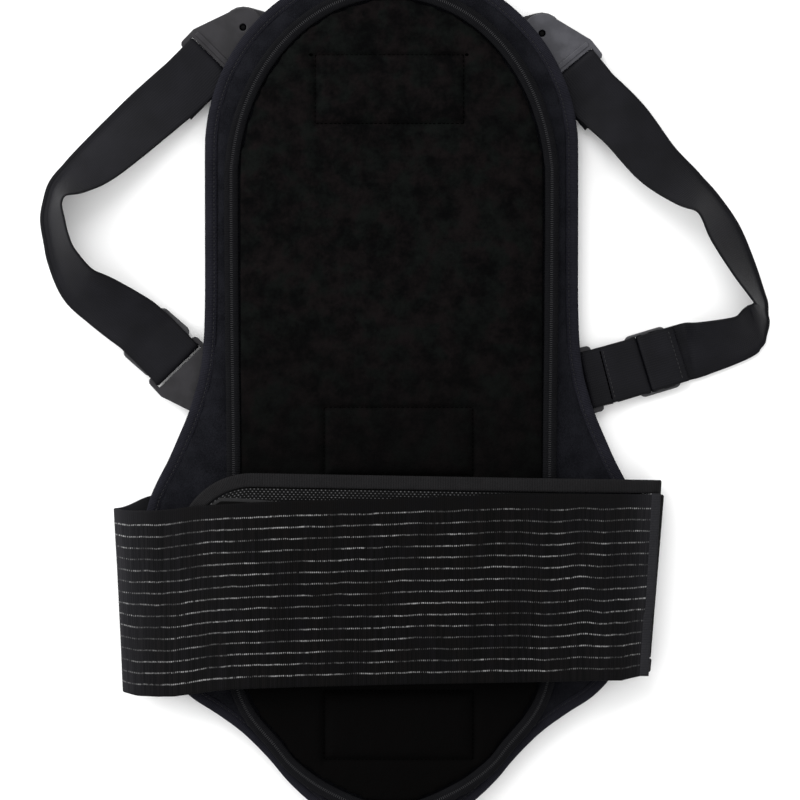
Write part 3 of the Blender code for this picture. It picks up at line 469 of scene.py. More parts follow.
# Distances along a list of points, with the way back to the first one where it is closed
def run_lengths(points, closed=False):
    run = list(points) + ([points[0]] if closed else [])
    lengths = [0.0]
    for first, second in zip(run, run[1:]):
        lengths.append(lengths[-1] + (Vector(second) - Vector(first)).length)
    return lengths


# Rounded flat section as (beside, up), closed, with its values across for the UV map
def flat_section(width, thickness, steps, edge):
    top = []
    for step in range(steps + 1):
        beside = -width / 2 * math.cos(math.pi * step / steps)
        near = min((width / 2 - abs(beside)) / edge, 1.0)
        top.append((beside, thickness / 2 * math.sqrt(max(1 - (1 - near) ** 2, 0.0))))
    bottom = [(beside, -up) for beside, up in reversed(top[1:-1])]
    section = top + bottom
    return section, [beside for beside, up in section] + [section[0][0]]


# One mesh of small stitches, each a slim rounded thread: middle, direction, up and length
def stitch_mesh(name, stitches, width, height):
    single = bmesh.new()
    bmesh.ops.create_uvsphere(single, u_segments=6, v_segments=5, radius=0.5)
    bmesh.ops.rotate(single, verts=single.verts, matrix=Matrix.Rotation(math.radians(90), 3, "Y"))
    for face in single.faces:
        face.smooth = True
    thread = bpy.data.meshes.new(name + "_thread")
    single.to_mesh(thread)
    count = len(single.verts)
    single.free()
    body = bmesh.new()
    places = []
    for middle, along, up, length in stitches:
        along = along.normalized()
        side = up.cross(along).normalized()
        turned = Matrix((along, side, along.cross(side))).transposed().to_4x4()
        places.append(Matrix.Translation(middle) @ turned @ Matrix.Diagonal((length, width, height, 1.0)))
        body.from_mesh(thread)
    for number, vertex in enumerate(body.verts):
        vertex.co = places[number // count] @ vertex.co
    mesh = bpy.data.meshes.new(name)
    body.to_mesh(mesh)
    body.free()
    bpy.data.meshes.remove(thread)
    return mesh


# Flat solid with rounded edges between two heights, from 2D outlines, inner ones being holes
def flat_mesh(name, outlines, low, high, edge, rounds=3):
    curve = bpy.data.curves.new(name + "_outline", "CURVE")
    curve.dimensions = "2D"
    curve.fill_mode = "BOTH"
    curve.extrude = (high - low) / 2 - edge
    curve.bevel_depth = edge
    curve.bevel_resolution = rounds
    curve.offset = -edge
    for outline in outlines:
        spline = curve.splines.new("POLY")
        spline.points.add(len(outline) - 1)
        for point, (x, y) in zip(spline.points, outline):
            point.co = (x, y, 0, 1)
        spline.use_cyclic_u = True
    drawn = bpy.data.objects.new(name + "_drawn", curve)
    bpy.context.scene.collection.objects.link(drawn)
    bpy.context.view_layer.update()
    mesh = bpy.data.meshes.new_from_object(drawn.evaluated_get(bpy.context.evaluated_depsgraph_get()))
    mesh.transform(Matrix.Translation((0, 0, (low + high) / 2)))
    bpy.data.objects.remove(drawn, do_unlink=True)
    bpy.data.curves.remove(curve)
    body = bmesh.new()
    body.from_mesh(mesh)
    bmesh.ops.remove_doubles(body, verts=body.verts, dist=2e-6)
    bmesh.ops.dissolve_degenerate(body, edges=body.edges, dist=1e-6)
    bmesh.ops.recalc_face_normals(body, faces=body.faces)
    for face in body.faces:
        face.smooth = abs(face.normal.z) < 0.98
    body.to_mesh(mesh)
    body.free()
    mesh.materials.clear()
    mesh.name = name
    return mesh


# Adds one mesh's geometry to another
def joined(first, second):
    body = bmesh.new()
    body.from_mesh(first)
    body.from_mesh(second)
    body.to_mesh(first)
    body.free()
    return first


# A material with its shader's plain values
def new_material(name, colour, roughness, specular=0.5):
    material = bpy.data.materials.new(name)
    material.use_nodes = True
    shader = material.node_tree.nodes["Principled BSDF"]
    shader.inputs["Base Color"].default_value = (*colour, 1.0)
    shader.inputs["Roughness"].default_value = roughness
    shader.inputs["Specular IOR Level"].default_value = specular
    return material


# Adds a node, with its inputs set to numbers or linked from sockets
def add(material, kind, inputs=None, **properties):
    made = material.node_tree.nodes.new("ShaderNode" + kind)
    for key, value in properties.items():
        setattr(made, key, value)
    for key, value in (inputs or {}).items():
        if isinstance(value, bpy.types.NodeSocket):
            material.node_tree.links.new(value, made.inputs[key])
        else:
            made.inputs[key].default_value = value
    return made


# A math node's result
def calc(material, operation, first, second=0.0, third=0.0):
    made = add(material, "Math", {0: first, 1: second, 2: third}, operation=operation)
    return made.outputs[0]


# Grey values between two limits, made 0 to 1
def spread(material, value, low, high):
    made = add(material, "MapRange", {"Value": value, "From Min": low, "From Max": high},
               interpolation_type="SMOOTHSTEP")
    return made.outputs["Result"]


def grain(material, vector, scale, detail, rough):
    made = add(material, "TexNoise", {"Vector": vector, "Scale": scale, "Detail": detail, "Roughness": rough})
    return made.outputs["Fac"]


def blend_colours(material, share, first, second):
    made = add(material, "Mix", data_type="RGBA")
    for key, value in ((0, share), (6, first), (7, second)):
        if isinstance(value, bpy.types.NodeSocket):
            material.node_tree.links.new(value, made.inputs[key])
        elif key == 0:
            made.inputs[key].default_value = value
        else:
            made.inputs[key].default_value = (*value, 1.0)
    return made.outputs[2]


# Gives the shader its colour and, where it varies, its roughness
def use(material, colour, roughness=None):
    shader = material.node_tree.nodes["Principled BSDF"]
    material.node_tree.links.new(colour, shader.inputs["Base Color"])
    if roughness is not None:
        material.node_tree.links.new(roughness, shader.inputs["Roughness"])


def bump(material, height, distance, strength):
    shader = material.node_tree.nodes["Principled BSDF"]
    made = add(material, "Bump", {"Height": height, "Distance": distance, "Strength": strength})
    material.node_tree.links.new(made.outputs["Normal"], shader.inputs["Normal"])


def object_place(material):
    return add(material, "TexCoord").outputs["Object"]


# The way along a piece of cloth or tape, and the place across it
def cloth_place(material):
    uv = add(material, "UVMap", uv_map="cloth").outputs["UV"]
    parts = add(material, "SeparateXYZ", {"Vector": uv})
    return parts.outputs["X"], parts.outputs["Y"]


# A wave of 0 to 1 along a length, with the given pitch
def wave(material, length, pitch, shift=0.0):
    turned = calc(material, "MULTIPLY_ADD", length, 2 * math.pi / pitch, shift)
    return calc(material, "MULTIPLY_ADD", calc(material, "SINE", turned), 0.5, 0.5)


# Black fleece: tufts, finer flecks and two warm and cool tints, with painted shade darker towards the tail
def fleece_finish():
    material = new_material("fleece", (0.002, 0.002, 0.002), 1.0, 0.02)
    place = object_place(material)
    tufts = grain(material, place, 95, 3, 0.55)
    flecks = grain(material, place, 420, 2, 0.6)
    drifts = grain(material, place, 30, 2, 0.5)
    hue = grain(material, place, 70, 2, 0.5)
    light = calc(material, "MULTIPLY_ADD", flecks, 0.20, calc(material, "MULTIPLY", tufts, 0.55))
    light = spread(material, calc(material, "MULTIPLY_ADD", drifts, 0.25, light), 0.34, 0.66)
    # Painted shade: the fleece's colour fades to darker towards the tail, as if less light reaches it there
    painted_top_light = spread(material, add(material, "SeparateXYZ", {"Vector": place}).outputs["Y"], -0.13, 0.10)
    tint = blend_colours(material, spread(material, hue, 0.42, 0.6), (0.0044, 0.0035, 0.0036),
                         (0.0033, 0.0039, 0.0036))
    colour = blend_colours(material, light, (0.0011, 0.0011, 0.0012), tint)
    colour = blend_colours(material, painted_top_light, (0.0012, 0.0011, 0.0011), colour)
    use(material, colour=colour)
    bump(material, calc(material, "MULTIPLY_ADD", flecks, 0.4, tufts), 0.0014, 0.55)
    return material


# Fine knitted cloth
def panel_cloth_finish():
    material = new_material("panel_cloth", (0.005, 0.005, 0.007), 0.95, 0.04)
    place = object_place(material)
    knit = grain(material, place, 1400, 2, 0.5)
    patches = grain(material, place, 60, 3, 0.6)
    light = calc(material, "MULTIPLY_ADD", knit, 0.5, calc(material, "MULTIPLY", patches, 0.5))
    colour = blend_colours(material, spread(material, light, 0.35, 0.65), (0.0030, 0.0031, 0.0042),
                           (0.0075, 0.0077, 0.0100))
    use(material, colour=colour)
    bump(material, knit, 0.0005, 0.7)
    return material


# Woven binding tape: fine ribs across its length
def tape_finish(name, dark, light):
    material = new_material(name, dark, 0.9, 0.05)
    along = cloth_place(material)[0]
    ribs = wave(material, along, 0.0011)
    fuzz = grain(material, object_place(material), 900, 3, 0.6)
    patches = grain(material, object_place(material), 90, 2, 0.5)
    share = calc(material, "MULTIPLY_ADD", ribs, 0.35, calc(material, "MULTIPLY", fuzz, 0.45))
    share = calc(material, "MULTIPLY_ADD", patches, 0.35, share)
    use(material, colour=blend_colours(material, spread(material, share, 0.3, 0.85), dark, light))
    bump(material, calc(material, "MULTIPLY_ADD", ribs, 0.6, fuzz), 0.0004, 0.8)
    return material


# Woven webbing: warp ribs along it, weft ribs across, and closer selvedges
def webbing_finish():
    material = new_material("webbing", (0.005, 0.005, 0.006), 0.6, 0.085)
    along, beside = cloth_place(material)
    warp = wave(material, beside, 0.0016)
    weft = wave(material, along, 0.0012)
    weave = calc(material, "MULTIPLY", warp, calc(material, "MULTIPLY_ADD", weft, 0.6, 0.4))
    fuzz = grain(material, object_place(material), 1100, 3, 0.6)
    patches = grain(material, object_place(material), 45, 2, 0.5)
    selvedge = spread(material, calc(material, "ABSOLUTE", beside), 0.0165, 0.0180)
    share = calc(material, "MULTIPLY_ADD", weave, 0.16, calc(material, "MULTIPLY", fuzz, 0.25))
    share = calc(material, "MULTIPLY_ADD", patches, 0.60, share)
    share = calc(material, "MULTIPLY_ADD", selvedge, -0.15, share)
    use(material, colour=blend_colours(material, spread(material, share, 0.25, 0.80), (0.0022, 0.0022, 0.0031),
                                       (0.0056, 0.0055, 0.0076)))
    bump(material, calc(material, "MULTIPLY_ADD", fuzz, 0.4, weave), 0.0003, 0.35)
    return material


# Ribbed black elastic with thin dotted white stripes along it, with painted light making it lighter towards the
# hips
def elastic_finish():
    material = new_material("striped_elastic", (0.004, 0.004, 0.004), 0.85, 0.05)
    along, beside = cloth_place(material)
    place = object_place(material)
    fuzz = grain(material, place, 1300, 3, 0.6)
    wander = calc(material, "MULTIPLY_ADD", grain(material, place, 70, 2, 0.5), 0.0016, -0.0008)
    stripe_place = calc(material, "ADD", beside, wander)
    pitch = STRIPED_WIDTH / (STRIPE_COUNT - 1)
    first = ELASTIC_WIDTH / 2 - PLAIN_UPPER_EDGE
    stripe = calc(material, "DIVIDE", calc(material, "SUBTRACT", first + pitch / 2, stripe_place), pitch)
    off_centre = calc(material, "ABSOLUTE", calc(material, "SUBTRACT", calc(material, "FRACT", stripe), 0.5))
    within = calc(material, "MULTIPLY", calc(material, "GREATER_THAN", stripe, 0.0),
                  calc(material, "LESS_THAN", stripe, STRIPE_COUNT))
    line = calc(material, "SUBTRACT", 1.0, spread(material, off_centre, 0.028, 0.085))
    ribs = wave(material, along, 0.00135)
    streak_place = add(material, "CombineXYZ", {"X": calc(material, "MULTIPLY", along, 620),
                                                "Y": calc(material, "MULTIPLY", beside, 14)}).outputs[0]
    streaks = grain(material, streak_place, 1.0, 2, 0.6)
    breaks = grain(material, place, 520, 2, 0.6)
    worn = grain(material, place, 42, 2, 0.5)
    dots = spread(material, calc(material, "MULTIPLY_ADD", ribs, 0.30, breaks), 0.46, 0.98)
    worn_share = calc(material, "MULTIPLY_ADD", spread(material, worn, 0.38, 0.64), 0.80, 0.20)
    dots = calc(material, "MULTIPLY", dots, worn_share)
    white = calc(material, "MULTIPLY", calc(material, "MULTIPLY", line, within), dots)
    hem = spread(material, beside, 0.0520, 0.0535)
    rib_light = spread(material, calc(material, "MULTIPLY_ADD", ribs, 0.07, streaks), 0.34, 0.72)
    rib_light = calc(material, "MULTIPLY_ADD", calc(material, "SUBTRACT", 0.5, rib_light),
                     calc(material, "MULTIPLY", hem, 0.8), rib_light)
    # Painted light: a lit copy of the colours is blended in towards the hips and most at their folds, where the
    # side light falls
    side = calc(material, "ABSOLUTE", add(material, "SeparateXYZ", {"Vector": place}).outputs["X"])
    outer = calc(material, "MULTIPLY_ADD", spread(material, side, 0.150, 0.186), 0.75,
                 calc(material, "MULTIPLY", spread(material, side, 0.060, 0.165), 0.14))
    tint = blend_colours(material, spread(material, grain(material, place, 55, 2, 0.5), 0.4, 0.6),
                         (0.0021, 0.0019, 0.0023), (0.0023, 0.0019, 0.0019))
    cloth = blend_colours(material, rib_light, (0.0008, 0.0008, 0.0008), tint)
    painted_lit_colours = blend_colours(material, rib_light, (0.0095, 0.0095, 0.0110), (0.0160, 0.0158, 0.0178))
    cloth = blend_colours(material, outer, cloth, painted_lit_colours)
    use(material, colour=blend_colours(material, white, cloth, (0.24, 0.24, 0.24)))
    height = calc(material, "MULTIPLY_ADD", ribs, 0.35, calc(material, "MULTIPLY", fuzz, 0.3))
    height = calc(material, "MULTIPLY_ADD", white, 0.6, height)
    bump(material, height, 0.0004, 0.6)
    return material


# Open net cloth with rows of light holes
def net_finish():
    material = new_material("net_cloth", (0.005, 0.005, 0.005), 0.85, 0.05)
    along, beside = cloth_place(material)
    row_pitch = 0.00155
    rows = wave(material, beside, row_pitch)
    row = calc(material, "FLOOR", calc(material, "DIVIDE", beside, row_pitch))
    shift = calc(material, "MULTIPLY", row, math.pi)
    holes = wave(material, along, 0.0026, shift)
    uneven = calc(material, "MULTIPLY_ADD", grain(material, object_place(material), 420, 2, 0.6), 0.9, -0.45)
    spots = spread(material, calc(material, "ADD", calc(material, "MULTIPLY", rows, holes), uneven), 0.52, 1.00)
    way = add(material, "SeparateXYZ", {"Vector": object_place(material)}).outputs["X"]
    shown = calc(material, "SUBTRACT", 1.0, spread(material, way, 0.050, 0.080))
    spots = calc(material, "MULTIPLY", spots, shown)
    use(material, colour=blend_colours(material, spots, (0.0024, 0.0024, 0.0025), (0.070, 0.070, 0.072)))
    bump(material, spots, 0.0005, -0.7)
    return material


# Fastener patch: dark pile with a light turned hem. The near-black pile below the hem is partly painted shadow
# of the gap under the elastic's edge
def patch_finish():
    material = new_material("patch_cloth", (0.002, 0.002, 0.002), 0.9, 0.05)
    beside = cloth_place(material)[1]
    fuzz = grain(material, object_place(material), 700, 3, 0.6)
    hem = spread(material, calc(material, "ABSOLUTE", beside), FASTENER_REACH - 0.0026, FASTENER_REACH - 0.0020)
    light = blend_colours(material, fuzz, (0.0110, 0.0110, 0.0115), (0.0190, 0.0190, 0.0195))
    # Near-black inside the hem: dark pile, and painted shadow of the gap under the elastic's edge
    use(material, colour=blend_colours(material, hem, (0.0012, 0.0011, 0.0011), light))
    bump(material, fuzz, 0.0004, 0.7)
    return material


def moulded_finish(name, dark, light, roughness, specular=0.25):
    material = new_material(name, dark, roughness, specular)
    place = object_place(material)
    fine = grain(material, place, 2200, 2, 0.5)
    broad = grain(material, place, 90, 3, 0.55)
    use(material, colour=blend_colours(material, spread(material, broad, 0.35, 0.65), dark, light),
        roughness=calc(material, "MULTIPLY_ADD", broad, 0.16, roughness - 0.08))
    bump(material, calc(material, "MULTIPLY_ADD", broad, 0.8, fine), 0.00012, 0.5)
    return material


def thread_finish(name, colour, specular=0.3):
    material = new_material(name, colour, 0.7, specular)
    place = object_place(material)
    ply = grain(material, place, 3200, 2, 0.5)
    dark = tuple(value * 0.6 for value in colour)
    use(material, colour=blend_colours(material, spread(material, ply, 0.35, 0.65), dark, colour))
    bump(material, ply, 0.0001, 0.6)
    return material


fleece = fleece_finish()
panel_cloth = panel_cloth_finish()
panel_tape = tape_finish("panel_tape", (0.0045, 0.0045, 0.0064), (0.0115, 0.0115, 0.0160))
pad_tape = tape_finish("pad_tape", (0.0019, 0.0019, 0.0024), (0.0044, 0.0045, 0.0053))
patch_cloth = patch_finish()
end_tape = tape_finish("end_tape", (0.0105, 0.0105, 0.0120), (0.0175, 0.0175, 0.0195))
wing_tape = tape_finish("wing_tape", (0.0055, 0.0053, 0.0057), (0.0105, 0.0102, 0.0108))
webbing = webbing_finish()
elastic = elastic_finish()
net = net_finish()
anchor_plastic = moulded_finish("anchor_plastic", (0.0080, 0.0074, 0.0090), (0.0135, 0.0126, 0.0150), 0.42)
# Painted light: a lighter copy of the same plastic, for the upper right anchor, which catches more light
painted_lit_anchor_plastic = moulded_finish("painted_lit_anchor_plastic", (0.034, 0.034, 0.040),
                                      (0.050, 0.050, 0.058), 0.42)
slider_plastic = moulded_finish("slider_plastic", (0.020, 0.020, 0.022), (0.030, 0.030, 0.033), 0.4)
shell_plastic = moulded_finish("shell_plastic", (0.0095, 0.0088, 0.0108), (0.0150, 0.0140, 0.0166), 0.5)
rivet_metal = moulded_finish("rivet_metal", (0.0010, 0.0010, 0.0011), (0.0020, 0.0020, 0.0022), 0.6, 0.05)
tape_thread = thread_finish("tape_thread", (0.0125, 0.0125, 0.0145))
strap_thread = thread_finish("strap_thread", (0.014, 0.014, 0.015))
dark_thread = thread_finish("dark_thread", (0.0004, 0.0004, 0.0004), 0.0)
seam_thread = thread_finish("seam_thread", (0.008, 0.008, 0.009))

# Shell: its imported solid, in grained plastic
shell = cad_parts["back_shell"]
for slot_index in range(len(shell.material_slots)):
    shell.material_slots[slot_index].material = shell_plastic


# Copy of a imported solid, merged, as a new mesh
def merged_copy(node):
    body = bmesh.new()
    body.from_mesh(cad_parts[node].data)
    bmesh.ops.remove_doubles(body, verts=body.verts, dist=1e-5)
    mesh = bpy.data.meshes.new(node + "_form")
    body.to_mesh(mesh)
    body.free()
    return mesh


# Applies a piece's modifiers to its mesh
def apply_modifiers(piece):
    bpy.context.view_layer.update()
    graph = bpy.context.evaluated_depsgraph_get()
    mesh = bpy.data.meshes.new_from_object(piece.evaluated_get(graph))
    piece.modifiers.clear()
    piece.data = mesh


# Swells a closed form under inner pressure by a cloth simulation. Held points stay, and no point
# moves further than the cap
def swell(piece, held, cap):
    start = [vertex.co.copy() for vertex in piece.data.vertices]
    group = piece.vertex_groups.new(name="held")
    for index, weight in held:
        group.add([index], weight, "REPLACE")
    cloth = piece.modifiers.new("swell", "CLOTH")
    cloth.settings.use_pressure = True
    cloth.settings.uniform_pressure_force = SWELL_PRESSURE
    cloth.settings.effector_weights.gravity = 0
    cloth.settings.vertex_group_mass = "held"
    cloth.settings.quality = 5
    for number in range(1, SWELL_FRAMES + 1):
        bpy.context.scene.frame_set(number)
    graph = bpy.context.evaluated_depsgraph_get()
    moved = piece.evaluated_get(graph).to_mesh()
    ends = [vertex.co.copy() for vertex in moved.vertices]
    piece.evaluated_get(graph).to_mesh_clear()
    piece.modifiers.remove(cloth)
    piece.vertex_groups.clear()
    for vertex, first, last in zip(piece.data.vertices, start, ends):
        step = last - first
        if step.length > cap:
            step = step.normalized() * cap
        vertex.co = first + step
    bpy.context.scene.frame_set(1)


# Evenly meshed piece from a mesh, ready to be swollen
def voxel_form(name, mesh, voxel):
    piece = bpy.data.objects.new(name, mesh)
    bpy.context.scene.collection.objects.link(piece)
    remesh = piece.modifiers.new("even", "REMESH")
    remesh.mode = "VOXEL"
    remesh.voxel_size = voxel
    apply_modifiers(piece)
    return piece


def subdivide_once(piece):
    divide = piece.modifiers.new("divide", "SUBSURF")
    divide.levels = 1
    divide.render_levels = 1
    apply_modifiers(piece)


panel_run = outline_run(panel_outline(), 0.002)
pad_run = outline_run(pad_outline(), 0.002)
panel_near = Nearness(panel_run)
pad_near = Nearness(pad_run)


# Panel: swollen rim between the shell, the pad and its binding
def make_panel():
    mesh = merged_copy("back_panel")
    piece = voxel_form("back_panel_cloth", mesh, 0.005)
    for vertex in piece.data.vertices:
        top = smoothstep(vertex.co.z, PANEL_BASE, PANEL_TOP_LEVEL)
        vertex.co.z -= 0.0008 * top
        near_rim = 1 - smoothstep(panel_near.inside(vertex.co.x, vertex.co.y), 0.012, 0.022)
        vertex.co += panel_near.outward(vertex.co.x, vertex.co.y) * (0.0035 * near_rim)
    held = []
    for vertex in piece.data.vertices:
        free = vertex.co.z > PANEL_BASE + 0.004 and pad_near.inside(vertex.co.x, vertex.co.y) < 0.0
        edge = panel_near.inside(vertex.co.x, vertex.co.y) < PANEL_TAPE_WIDTH + 0.003
        held.append((vertex.index, 0.0 if free and not edge else 1.0))
    swell(piece, held, PANEL_SWELL)
    subdivide_once(piece)
    for vertex in piece.data.vertices:
        inside_pad = pad_near.inside(vertex.co.x, vertex.co.y)
        ceiling = PAD_BASE - 0.0002 + 0.0030 * smoothstep(-inside_pad, 0.001, 0.012)
        if vertex.co.z > PANEL_BASE + 0.004:
            lumps = noise.noise(vertex.co * 45) * 0.0004
            vertex.co.z = min(vertex.co.z + lumps, ceiling)
    piece.data.polygons.foreach_set("use_smooth", [True] * len(piece.data.polygons))
    finish_piece(piece, panel_cloth, ["back_panel"])


# How deep the pad's face is drawn in at a place by the seams round its rectangles
def seam_drop(x, y):
    drop = 0.0
    for patch in PATCHES:
        beside = abs(x - patch["x"]) - PATCH_LENGTH / 2
        beyond = abs(y - patch["y"]) - PATCH_WIDTH / 2
        if max(beside, beyond) > 0.012:
            continue
        inside = max(beside, beyond)
        edge = inside if inside <= 0 else math.hypot(max(beside, 0), max(beyond, 0))
        drop += SEAM_HOLLOW * math.exp(-(edge / 0.0035) ** 2) + SEAM_GROOVE * math.exp(-(edge / 0.0014) ** 2)
        if inside < 0:
            drop -= PATCH_CUSHION * smoothstep(-inside, 0.001, 0.010)
    return drop


# Fleece pad: swollen, then cut along its seams and drawn in there
def make_pad():
    mesh = merged_copy("inner_pad")
    piece = voxel_form("inner_pad_fleece", mesh, 0.0045)
    for vertex in piece.data.vertices:
        share = (vertex.co.z - PAD_BASE) / (PAD_TOP_LEVEL - PAD_BASE)
        vertex.co.z = PAD_BASE + share * (PAD_TOP_LEVEL - PAD_BASE) * PAD_SQUASH
    held = []
    for vertex in piece.data.vertices:
        inside = pad_near.inside(vertex.co.x, vertex.co.y) - PAD_TAPE_WIDTH
        top = vertex.co.z > PAD_BASE + 0.004
        held.append((vertex.index, 0.0 if top and inside > 0.004 else 1.0))
    swell(piece, held, PAD_SWELL)
    subdivide_once(piece)
    body = bmesh.new()
    body.from_mesh(piece.data)
    for patch in PATCHES:
        for turned, reach in ((0, PATCH_LENGTH / 2), (1, PATCH_WIDTH / 2)):
            normal = Vector((0, 1, 0)) if turned else Vector((1, 0, 0))
            for side in (-1, 1):
                for offset in (-0.0009, 0.0, 0.0009):
                    spot = Vector((patch["x"], patch["y"], 0)) + normal * (side * reach + offset)
                    near = [face for face in body.faces if face.normal.z > 0.5
                            and abs(face.calc_center_median().x - patch["x"]) < PATCH_LENGTH / 2 + 0.003
                            and abs(face.calc_center_median().y - patch["y"]) < PATCH_WIDTH / 2 + 0.003]
                    geometry = list({vert for face in near for vert in face.verts})
                    geometry += list({edge for face in near for edge in face.edges}) + near
                    bmesh.ops.bisect_plane(body, geom=geometry, dist=1e-5, plane_co=spot, plane_no=normal)
    for vertex in body.verts:
        if vertex.co.z < PAD_BASE + 0.003:
            vertex.co.z = max(vertex.co.z, PAD_BASE)
            continue
        drop = seam_drop(vertex.co.x, vertex.co.y)
        lumps = noise.noise(vertex.co * 28) * 0.0007 + noise.noise(vertex.co * 150) * 0.0003
        vertex.co.z += lumps - drop
    for face in body.faces:
        face.smooth = True
    body.to_mesh(piece.data)
    body.free()
    finish_piece(piece, fleece, ["inner_pad"])
    return piece


make_panel()
inner_pad = make_pad()


# Rows of thread sunk in the seams round the pad's rectangles. The topmost one's upper seam runs on past
# its corners
def patch_seams():
    tree = BVHTree.FromPolygons([vertex.co for vertex in inner_pad.data.vertices],
                                [list(face.vertices) for face in inner_pad.data.polygons])
    stitches = []
    for number, patch in enumerate(PATCHES):
        beyond = 0.0045 if number == 0 else 0.0
        wide = PATCH_LENGTH / 2
        tall = PATCH_WIDTH / 2
        lines = [((-wide - beyond, tall), (wide + beyond * 0.8, tall)), ((-wide, -tall), (wide, -tall)),
                 ((-wide, -tall), (-wide, tall)), ((wide, -tall), (wide, tall))]
        for first, second in lines:
            along = Vector((second[0] - first[0], second[1] - first[1], 0))
            count = round(along.length / SEAM_STITCH)
            start = Vector((patch["x"] + first[0], patch["y"] + first[1], 0.08))
            for step in range(count):
                spot = start + along * (step + 0.5) / count
                hit = tree.ray_cast(spot, Vector((0, 0, -1)))
                sunk = 0.0002 if abs(spot.x - patch["x"]) < wide else -0.0002
                middle = hit[0] - Vector((0, 0, sunk))
                stitches.append((middle, along, Vector((0, 0, 1)), SEAM_STITCH + 0.0001))
    return stitches


pad_seams = stitch_mesh("inner_pad_seams", patch_seams(), 0.0019, 0.0008)
new_piece("inner_pad_seams", pad_seams, dark_thread)


# Tape round an outline: a section with a soft outer edge and a shallow channel where it is sewn
def make_tape(name, run, width, low, high, channel, material, node):
    section = []
    half = width / 2
    middle = (low + high) / 2
    rise = (high - low) / 2
    steps = 14
    for step in range(steps + 1):
        turned = math.pi * step / steps
        beside = half * math.cos(turned)
        up = rise * math.sin(turned) ** 0.55
        up -= 0.0006 * math.exp(-((beside - channel) / 0.0008) ** 2)
        section.append((beside, up))
    for step in range(1, steps):
        turned = math.pi * step / steps
        section.append((-half * math.cos(turned), -rise * math.sin(turned) ** 0.55))
    girth = run_lengths([(beside, up, 0) for beside, up in section], closed=True)
    rings = []
    for point, outward in run:
        centre = point - outward * half
        rings.append([centre + outward * beside + Vector((0, 0, middle + up)) for beside, up in section])
    lengths = run_lengths([point for point, outward in run], closed=True)
    new_piece(name, skin(name, rings, lengths, girth, closed=True), material, [node])


make_tape("back_panel_tape", panel_run, PANEL_TAPE_WIDTH, panel_tape_low.z, panel_tape_high.z,
          -PANEL_SEAM_INSET, panel_tape, "back_panel_binding")
make_tape("inner_pad_tape", pad_run, PAD_TAPE_WIDTH, pad_tape_low.z, pad_tape_high.z,
          0.0, pad_tape, "inner_pad_binding")


# Rungs of thread across a tape
def ladder(run, inset, level, pitch, length):
    lengths = run_lengths([point for point, outward in run], closed=True)
    stitches = []
    count = int(lengths[-1] / pitch)
    index = 0
    for number in range(count):
        wanted = lengths[-1] * number / count
        while lengths[index + 1] < wanted:
            index += 1
        point, outward = run[index]
        following = run[(index + 1) % len(run)][0]
        share = (wanted - lengths[index]) / (lengths[index + 1] - lengths[index])
        spot = point.lerp(following, share) - outward * inset
        lean = outward.cross(Vector((0, 0, 1))) * random.uniform(-0.12, 0.12)
        stitches.append((spot + Vector((0, 0, level)), outward + lean, Vector((0, 0, 1)),
                         length * random.uniform(0.85, 1.1)))
    return stitches


# A plain row of stitches along a tape
def seam_row(run, inset, level, pitch, length):
    stitches = []
    for middle, across, up, size in ladder(run, inset, level, pitch, length):
        stitches.append((middle, across.cross(up), up, length))
    return stitches


pad_rungs = ladder(pad_run, PAD_TAPE_WIDTH / 2, pad_tape_high.z - 0.0004, 0.0014, 0.0034)
new_piece("inner_pad_overlock", stitch_mesh("inner_pad_overlock", pad_rungs, 0.0006, 0.0006), tape_thread)
panel_seam = PANEL_TAPE_WIDTH / 2 + PANEL_SEAM_INSET
panel_rows = seam_row(panel_run, panel_seam, panel_tape_high.z - 0.0004, 0.0030, 0.0022)
new_piece("back_panel_stitches", stitch_mesh("back_panel_stitches", panel_rows, 0.0005, 0.0005), seam_thread)


# Places of an anchor: rivet, slot, the way out and the way across
def anchor_place(name):
    row = ANCHORS[name]
    heading = math.radians(row["heading"])
    out = Vector((math.cos(heading), math.sin(heading), 0))
    if "arch_turn" in row:
        turned = math.radians(row["arch_turn"])
        distance = UPPER_HALF + row["outset"]
        rivet = Vector((distance * math.cos(turned), ARCH_Y + distance * math.sin(turned), 0))
    else:
        flare = read_table([{"drop": 0.0, "flare": 0.0}] + FLANK, "drop", row["drop"], "flare")
        half = UPPER_HALF + (HIP_HALF - UPPER_HALF) * flare - row["inset"]
        rivet = Vector((row["side"] * half, ARCH_Y - row["drop"] * SIDE_LENGTH, 0))
    across = Vector((-out.y, out.x, 0))
    return {"rivet": rivet, "out": out, "across": across, "slot": rivet + out * ANCHOR_REACH}


# Points in the plane from places beside and along an anchor's line
def from_anchor(anchor, points):
    placed = []
    for beside, along in points:
        spot = anchor["slot"] + anchor["out"] * along + anchor["across"] * beside
        placed.append((spot.x, spot.y))
    return placed


# Outline round a set of circles (x, y, radius), as a tight string round pegs
def outline_round(circles, steps):
    body = bmesh.new()
    for x, y, radius in circles:
        bmesh.ops.create_circle(body, segments=steps, radius=radius, matrix=Matrix.Translation((x, y, 0)))
    cloud = sorted({(round(vertex.co.x, 7), round(vertex.co.y, 7)) for vertex in body.verts})
    body.free()

    def chain(points):
        hull = []
        for point in points:
            while len(hull) > 1 and turn(hull[-2], hull[-1], point) <= 0:
                hull.pop()
            hull.append(point)
        return hull[:-1]

    return chain(cloud) + chain(cloud[::-1])


# Above nought where three points turn to the left
def turn(first, second, third):
    return ((second[0] - first[0]) * (third[1] - first[1])
            - (second[1] - first[1]) * (third[0] - first[0]))


def rounded_box(x, y, length, width, corner, steps):
    points = []
    for index, (sign_x, sign_y) in enumerate([(1, 1), (-1, 1), (-1, -1), (1, -1)]):
        centre_x = x + sign_x * (length / 2 - corner)
        centre_y = y + sign_y * (width / 2 - corner)
        points += arc(centre_x, centre_y, corner, 90 * index, 90 * index + 90, steps)
    return points


